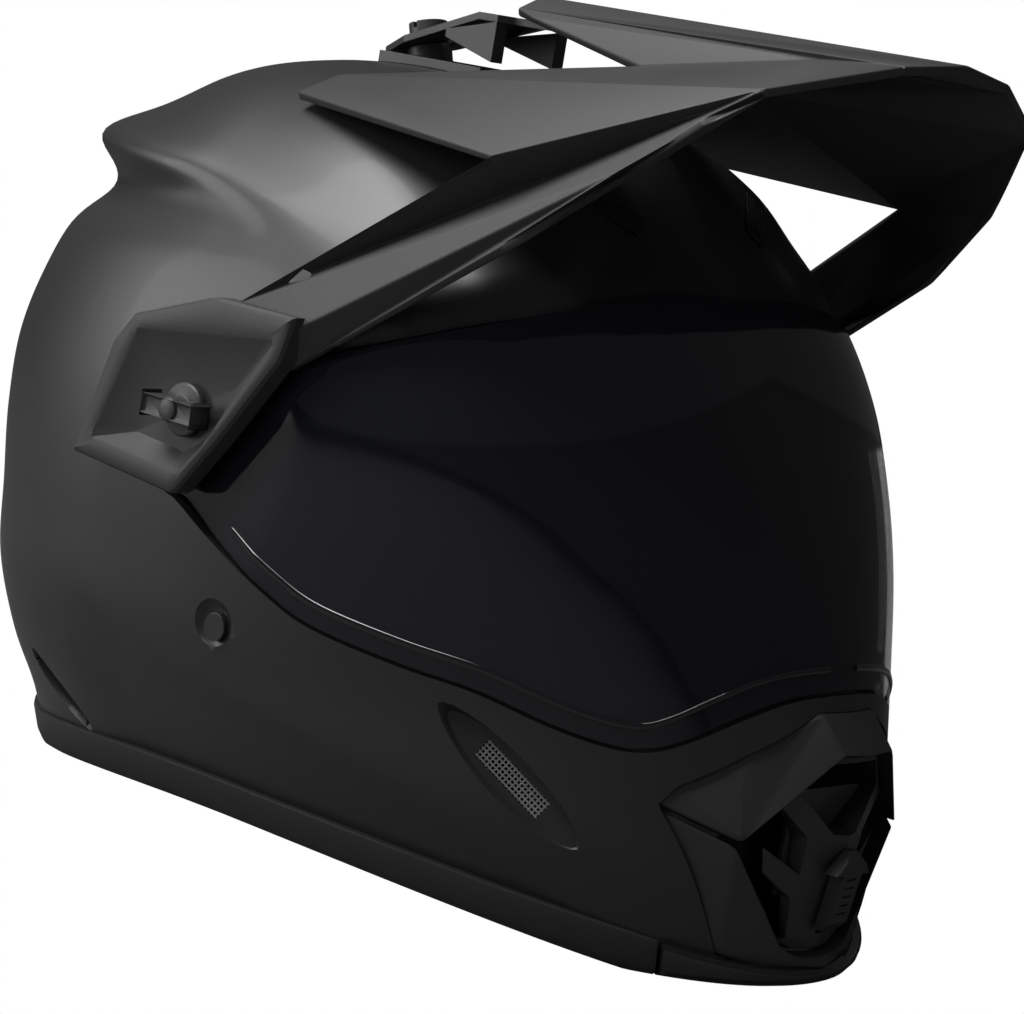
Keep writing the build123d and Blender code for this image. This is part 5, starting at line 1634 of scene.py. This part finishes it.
class Pillow:
    """Crowned closed pads that lie on the inside of the head space."""

    foam: Flat = (22.0, 38.0)
    rim: float = 0.32
    sewn: float = 0.35
    sewn_width: float = 0.045

    @classmethod
    def cavity(cls, turn: float, share: float, extra: float) -> Point:
        """Finds a place on the foam's inner face.

        Args:
            turn: angle round from the wearer's left, in radians.
            share: height as a share of the whole.
            extra: how much further in the place lies.

        Returns:
            The place in millimetres.
        """
        blend = ease(share * HEIGHT, 0, PIVOT_Z)
        low, full = cls.foam[0] + extra, cls.foam[1] + extra
        return Skin.point(turn, share, low + (full - low) * blend, False)

    @classmethod
    def pad(cls, name: str, spot: Callable[[float, float, float], Point], wall: float, steps: Tuple[int, int],
            quilt: Sequence[float] = ()) -> bpy.types.Object:
        """Makes a closed pad between its back and a crowned face.

        Args:
            name: the piece's name.
            spot: gives a place from two shares of -1 to 1 and a depth.
            wall: thickness at the middle.
            steps: divisions along both shares.
            quilt: places across the second share where the pad is sewn down.

        Returns:
            The pad.
        """
        across, along = steps
        bm = bmesh.new()
        layers: List[List[List[bmesh.types.BMVert]]] = []
        for layer in (0, 1):
            rows = []
            for i in range(across + 1):
                u = -math.cos(math.pi * i / across)
                row = []
                for j in range(along + 1):
                    v = -math.cos(math.pi * j / along)
                    edge = (max(1 - abs(u) ** 6, 0) ** 0.5) * (max(1 - abs(v) ** 6, 0) ** 0.5)
                    seamed = 1.0
                    for place in quilt:
                        seamed *= 1 - cls.sewn * math.exp(-(((v - place) / cls.sewn_width) ** 2))
                    crown = cls.rim + (1 - cls.rim) * edge * seamed if layer else cls.rim * (1 - edge)
                    row.append(bm.verts.new(Place.at(*spot(u, v, wall * crown))))
                rows.append(row)
            layers.append(rows)
            for i in range(across):
                for j in range(along):
                    bm.faces.new((rows[i][j], rows[i + 1][j], rows[i + 1][j + 1], rows[i][j + 1]))
        border = [(i, 0) for i in range(across)] + [(across, j) for j in range(along)]
        border += [(i, along) for i in range(across, 0, -1)] + [(0, j) for j in range(along, 0, -1)]
        Make.join_rows(bm, [[rows[i][j] for i, j in border] for rows in layers])
        bmesh.ops.remove_doubles(bm, verts=bm.verts, dist=WELD / 1000)
        return Make.obj(name, bm, 80)


@dataclass
class Lining(SubAssembly):
    """The comfort liner, the cheek pads and the neck roll.

    Args:
        play: gap between the foam and the pads.
        walls: thickness of the cheek pads, the neck roll and the crown's liner.
        cheek_spot: reach and height of the cheek pads' middle.
        cheek_half: half length and half height of the cheek pads.
        cheek_inset: inset of the outline that their reach is measured on.
        roll_height: middle and half height of the neck roll.
        roll_turn: half of its angle round the helmet, in radians.
        roll_inset: how far in it starts.
        dome_turn: half of the crown liner's angle, in degrees.
        dome_low: its lower edge as a share of the height.
        dome_half: half of its height as a share.
    """

    body: str = "helmet"
    play: float = 0.6
    walls: Point = (19.0, 22.0, 8.4)
    cheek_spot: Flat = (-10.5, 65)
    cheek_half: Flat = (50, 32)
    cheek_inset: float = 30
    roll_height: Flat = (28.5, 11)
    roll_turn: float = 1.23
    roll_inset: float = 6.5
    dome_turn: float = 118
    dome_low: float = 0.405
    dome_half: float = 0.30

    def build(self) -> None:
        """Makes each pad in the place of its plain solid."""
        for side in Side:
            pad = self.cheek(side)
            self.add(pad, CLOTH, f"cheek_pad_{side.word}")
        neck = Pillow.pad("neck_roll_soft", self.roll_spot, self.walls[1], (90, 16))
        self.add(neck, CLOTH, "neck_roll")
        dome = Pillow.pad("comfort_liner_soft", self.dome_spot, self.walls[2], (120, 56), (-0.35, 0.25))
        self.add(dome, CLOTH, "comfort_liner")

    def cheek(self, side: Side) -> bpy.types.Object:
        """Makes one cheek pad.

        Args:
            side: which side it lies on.

        Returns:
            The pad.
        """
        def spot(u: float, v: float, depth: float) -> Point:
            """Finds a place in the pad.

            Args:
                u: share of its length, of -1 to 1.
                v: share of its height, of -1 to 1.
                depth: how far in.

            Returns:
                The place in millimetres.
            """
            share = (self.cheek_spot[1] + self.cheek_half[1] * v) / HEIGHT
            turn = Skin.turn_at(self.cheek_spot[0] + self.cheek_half[0] * u, share, self.cheek_inset)
            x, y, z = Pillow.cavity(turn, share, self.play + depth)
            return (side.value * x, y, z)

        return Pillow.pad(f"cheek_pad_soft_{side.word}", spot, self.walls[0], (36, 30), (-0.45, 0.35))

    def roll_spot(self, u: float, v: float, depth: float) -> Point:
        """Returns a place in the neck roll from its two shares and a depth."""
        z = self.roll_height[0] + self.roll_height[1] * v
        return Skin.point(math.pi / 2 + u * self.roll_turn, z / HEIGHT, self.roll_inset + depth, False)

    def dome_spot(self, u: float, v: float, depth: float) -> Point:
        """Finds a place in the crown's liner, which is open at the face.

        Args:
            u: share round the helmet, of -1 to 1.
            v: share of its height, of -1 to 1.
            depth: how far in.

        Returns:
            The place in millimetres.
        """
        turn = math.pi / 2 + u * math.radians(self.dome_turn)
        share = min(self.dome_low + self.dome_half * (v + 1), 0.995)
        return Pillow.cavity(turn, share, self.play + depth)


@dataclass
class Straps(SubAssembly):
    """The webbing of the chin strap and its soft sleeves.

    Args:
        web: thickness and width of the webbing.
        sleeve: thickness and width of the sleeves.
        spot_y: reach of the strap's middle.
        loop: inner and outer radius of the sewn loops, and half their length.
    """

    body: str = "helmet"
    web: Flat = (1.5, 24)
    sleeve: Flat = (4.6, 31)
    spot_y: float = -19
    loop: Point = (2.1, 4.0, 10.4)

    def build(self) -> None:
        """Makes both lengths of webbing, the sewn loops and both sleeves."""
        path = [(106.9, 57.5), (87.0, 26.0), (64.0, 15.6), (35.0, 15.4)]
        left = Make.ribbon("strap_webbing_left", path, *self.web, self.spot_y)
        self.add(left, WEBBING, "chin_strap_left")
        inner, outer, half = self.loop
        profile = [(inner, -half), (outer - 0.1, -half), (outer, 0.4 - half), (outer, half - 0.4),
                   (outer - 0.1, half), (inner, half)]
        for x, z, word in ((25, 7, "lower"), (31, 11.4, "upper")):
            centre = (x, self.spot_y, z)
            loop = Make.lathe(f"strap_loop_{word}", profile, centre, Vector((0, 1, 0)), 40, True, 50)
            self.add(loop, WEBBING)
        path = [(-106.9, 57.5), (-87, 26), (-64, 15.6), (19.5, 15.6), (19.5, 2.6), (-34, 2.6)]
        right = Make.ribbon("strap_webbing_right", path, *self.web, self.spot_y)
        self.add(right, WEBBING, "chin_strap_right")
        for side in Side:
            path = [(side.value * x, z) for x, z in ((87, 26), (64, 15.6), (58, 15.6))]
            sleeve = Make.ribbon(f"strap_sleeve_soft_{side.word}", path, *self.sleeve, self.spot_y, 0.6)
            self.add(sleeve, CLOTH, f"strap_sleeve_{side.word}")


class KeptNodes:
    """Finishes of the CAD nodes that stay in view."""

    table: Dict[str, Finish] = {
        "foam": FOAM, "lining": CLOTH, "rim_rubber": RUBBER, "vent_plastic": VENT_SATIN, "steel": STEEL,
        "brass_insert": BRASS, "mesh": MESH, "gloss_black": GLOSS, "peak_plastic": PEAK_GRAIN,
        "shell_plastic": SHELL_PAINT, "webbing": WEBBING, "shield_clear": GLOSS,
    }
    special: Dict[str, Finish] = {"strap_rivets": RIVET}

    @classmethod
    def paint(cls) -> None:
        """Gives every node the finish of its record slot."""
        for entry in frame["record"]["subparts"]:
            node = frame["nodes"].get(entry["node"])
            if node is not None:
                Library.paint(node, cls.special.get(entry["node"], cls.table[entry["material_slot"]]))


@dataclass(frozen=True)
class Lamp:
    """A soft area light.

    Args:
        name: its name.
        spot: where it hangs, in metres of the row frame.
        size: its two widths in metres.
        power: its power in watts.
        mirrored: whether glossy pieces show it.
    """

    name: str
    spot: Point
    size: Flat
    power: float
    mirrored: bool

    def build(self) -> None:
        """Hangs the light and turns it to the helmet."""
        data = bpy.data.lights.new(self.name, "AREA")
        data.shape = "RECTANGLE"
        data.size, data.size_y = self.size
        data.energy = self.power
        lamp = bpy.data.objects.new(self.name, data)
        lamp.visible_glossy = self.mirrored
        lamp.location = self.spot
        aim = Vector((0, 0, 0.12)) - Vector(self.spot)
        lamp.rotation_euler = aim.to_track_quat("-Z", "Y").to_euler()
        bpy.context.scene.collection.objects.link(lamp)


@dataclass
class Studio:
    """The camera at the photograph's place, a pale floor and soft lights.

    Args:
        azimuth: the camera's angle round the helmet, in radians.
        height: its angle over the floor.
        roll: its roll.
        distance: how far it stands from the target.
        target: what it looks at.
        focal: focal length in pixels of a photograph 1024 pixels wide.
        sensor: the camera's sensor width.
        floor_z: the floor's height in metres.
        floor_half: half of its width in metres.
        lamps: the lights.
    """

    azimuth: float = -0.860326
    height: float = 0.150095
    roll: float = 0.164254
    distance: float = 1300.0
    target: Point = (139.669, 87.498, 96.046)
    focal: float = 3145.74
    sensor: float = 36
    floor_z: float = -0.0012
    floor_half: float = 6.0
    lamps: Sequence[Lamp] = (
        Lamp("key", (-0.55, 0.35, 1.35), (0.9, 0.9), 30, True),
        Lamp("flank", (-1.75, -0.35, 0.75), (0.35, 0.9), 7, False),
        Lamp("front", (0.1, -1.9, 0.35), (0.5, 0.5), 4, False),
        Lamp("rear", (-1.2, 1.3, 0.5), (0.5, 1.1), 12, True),
    )

    def build(self) -> None:
        """Makes the camera, the floor, the world and the lights."""
        self.camera()
        self.floor()
        self.world()
        for lamp in self.lamps:
            lamp.build()
        bpy.context.scene.view_settings.view_transform = "Standard"

    def camera(self) -> None:
        """Places the camera where the photograph was taken from."""
        ce, se = math.cos(self.height), math.sin(self.height)
        back = Vector((math.sin(self.azimuth) * ce, -math.cos(self.azimuth) * ce, se))
        x = Vector((0, 0, 1)).cross(back).normalized()
        y = back.cross(x)
        c, s = math.cos(self.roll), math.sin(self.roll)
        data = bpy.data.cameras.new("camera")
        data.lens = self.focal * self.sensor / 1024
        data.sensor_width = self.sensor
        data.clip_start = 0.05
        data.dof.use_dof = False
        camera = bpy.data.objects.new("camera", data)
        matrix = Matrix((c * x + s * y, -s * x + c * y, back)).transposed().to_4x4()
        matrix.translation = Place.at(*self.target) + back * self.distance / 1000
        camera.matrix_world = matrix
        bpy.context.scene.collection.objects.link(camera)
        bpy.context.scene.camera = camera

    def floor(self) -> None:
        """Makes the pale floor, which the camera sees as plain white."""
        bm = bmesh.new()
        bmesh.ops.create_grid(bm, x_segments=8, y_segments=8, size=self.floor_half)
        bmesh.ops.translate(bm, vec=(0, 0, self.floor_z), verts=bm.verts)
        ground = Make.obj("studio_floor", bm)
        material = bpy.data.materials.new("studio_white")
        material.use_nodes = True
        nodes = material.node_tree.nodes
        graph = Graph(material.node_tree)
        shader = nodes["Principled BSDF"]
        grain = graph.add("TexNoise", {"Scale": 2.0}).outputs["Fac"]
        graph.fill(shader, {"Base Color": (0.12, 0.12, 0.12, 1),
                            "Roughness": graph.span(grain, (0, 1), (0.85, 0.95))})
        glow = graph.add("Emission", {"Color": (1, 1, 1, 1), "Strength": 1.0})
        rays = graph.add("LightPath").outputs
        seen = graph.maths("MAXIMUM", rays["Is Camera Ray"], rays["Is Transmission Ray"])
        both = graph.add("MixShader", {0: seen, 1: shader.outputs[0], 2: glow.outputs[0]})
        graph.fill(nodes["Material Output"], {"Surface": both.outputs[0]})
        ground.data.materials.append(material)

    @staticmethod
    def world() -> None:
        """Makes a world that the camera sees as white and that hardly lights the helmet."""
        world = bpy.data.worlds.new("studio")
        world.use_nodes = True
        bpy.context.scene.world = world
        graph = Graph(world.node_tree)
        seen = graph.add("LightPath").outputs["Is Camera Ray"]
        graph.fill(world.node_tree.nodes["Background"], {
            "Color": (1, 1, 1, 1), "Strength": graph.span(seen, (0, 1), (0.05, 1.0))})


def main() -> None:
    KeptNodes.paint()
    for part in (Shell(), Shield(), Rim(), Peak(), MouthVent(), Knob("knob_right", side=Side.RIGHT),
                 Knob("knob_left", side=Side.LEFT), Lining(), Straps()):
        part.build()
    Studio().build()


if __name__ == "__main__":
    main()
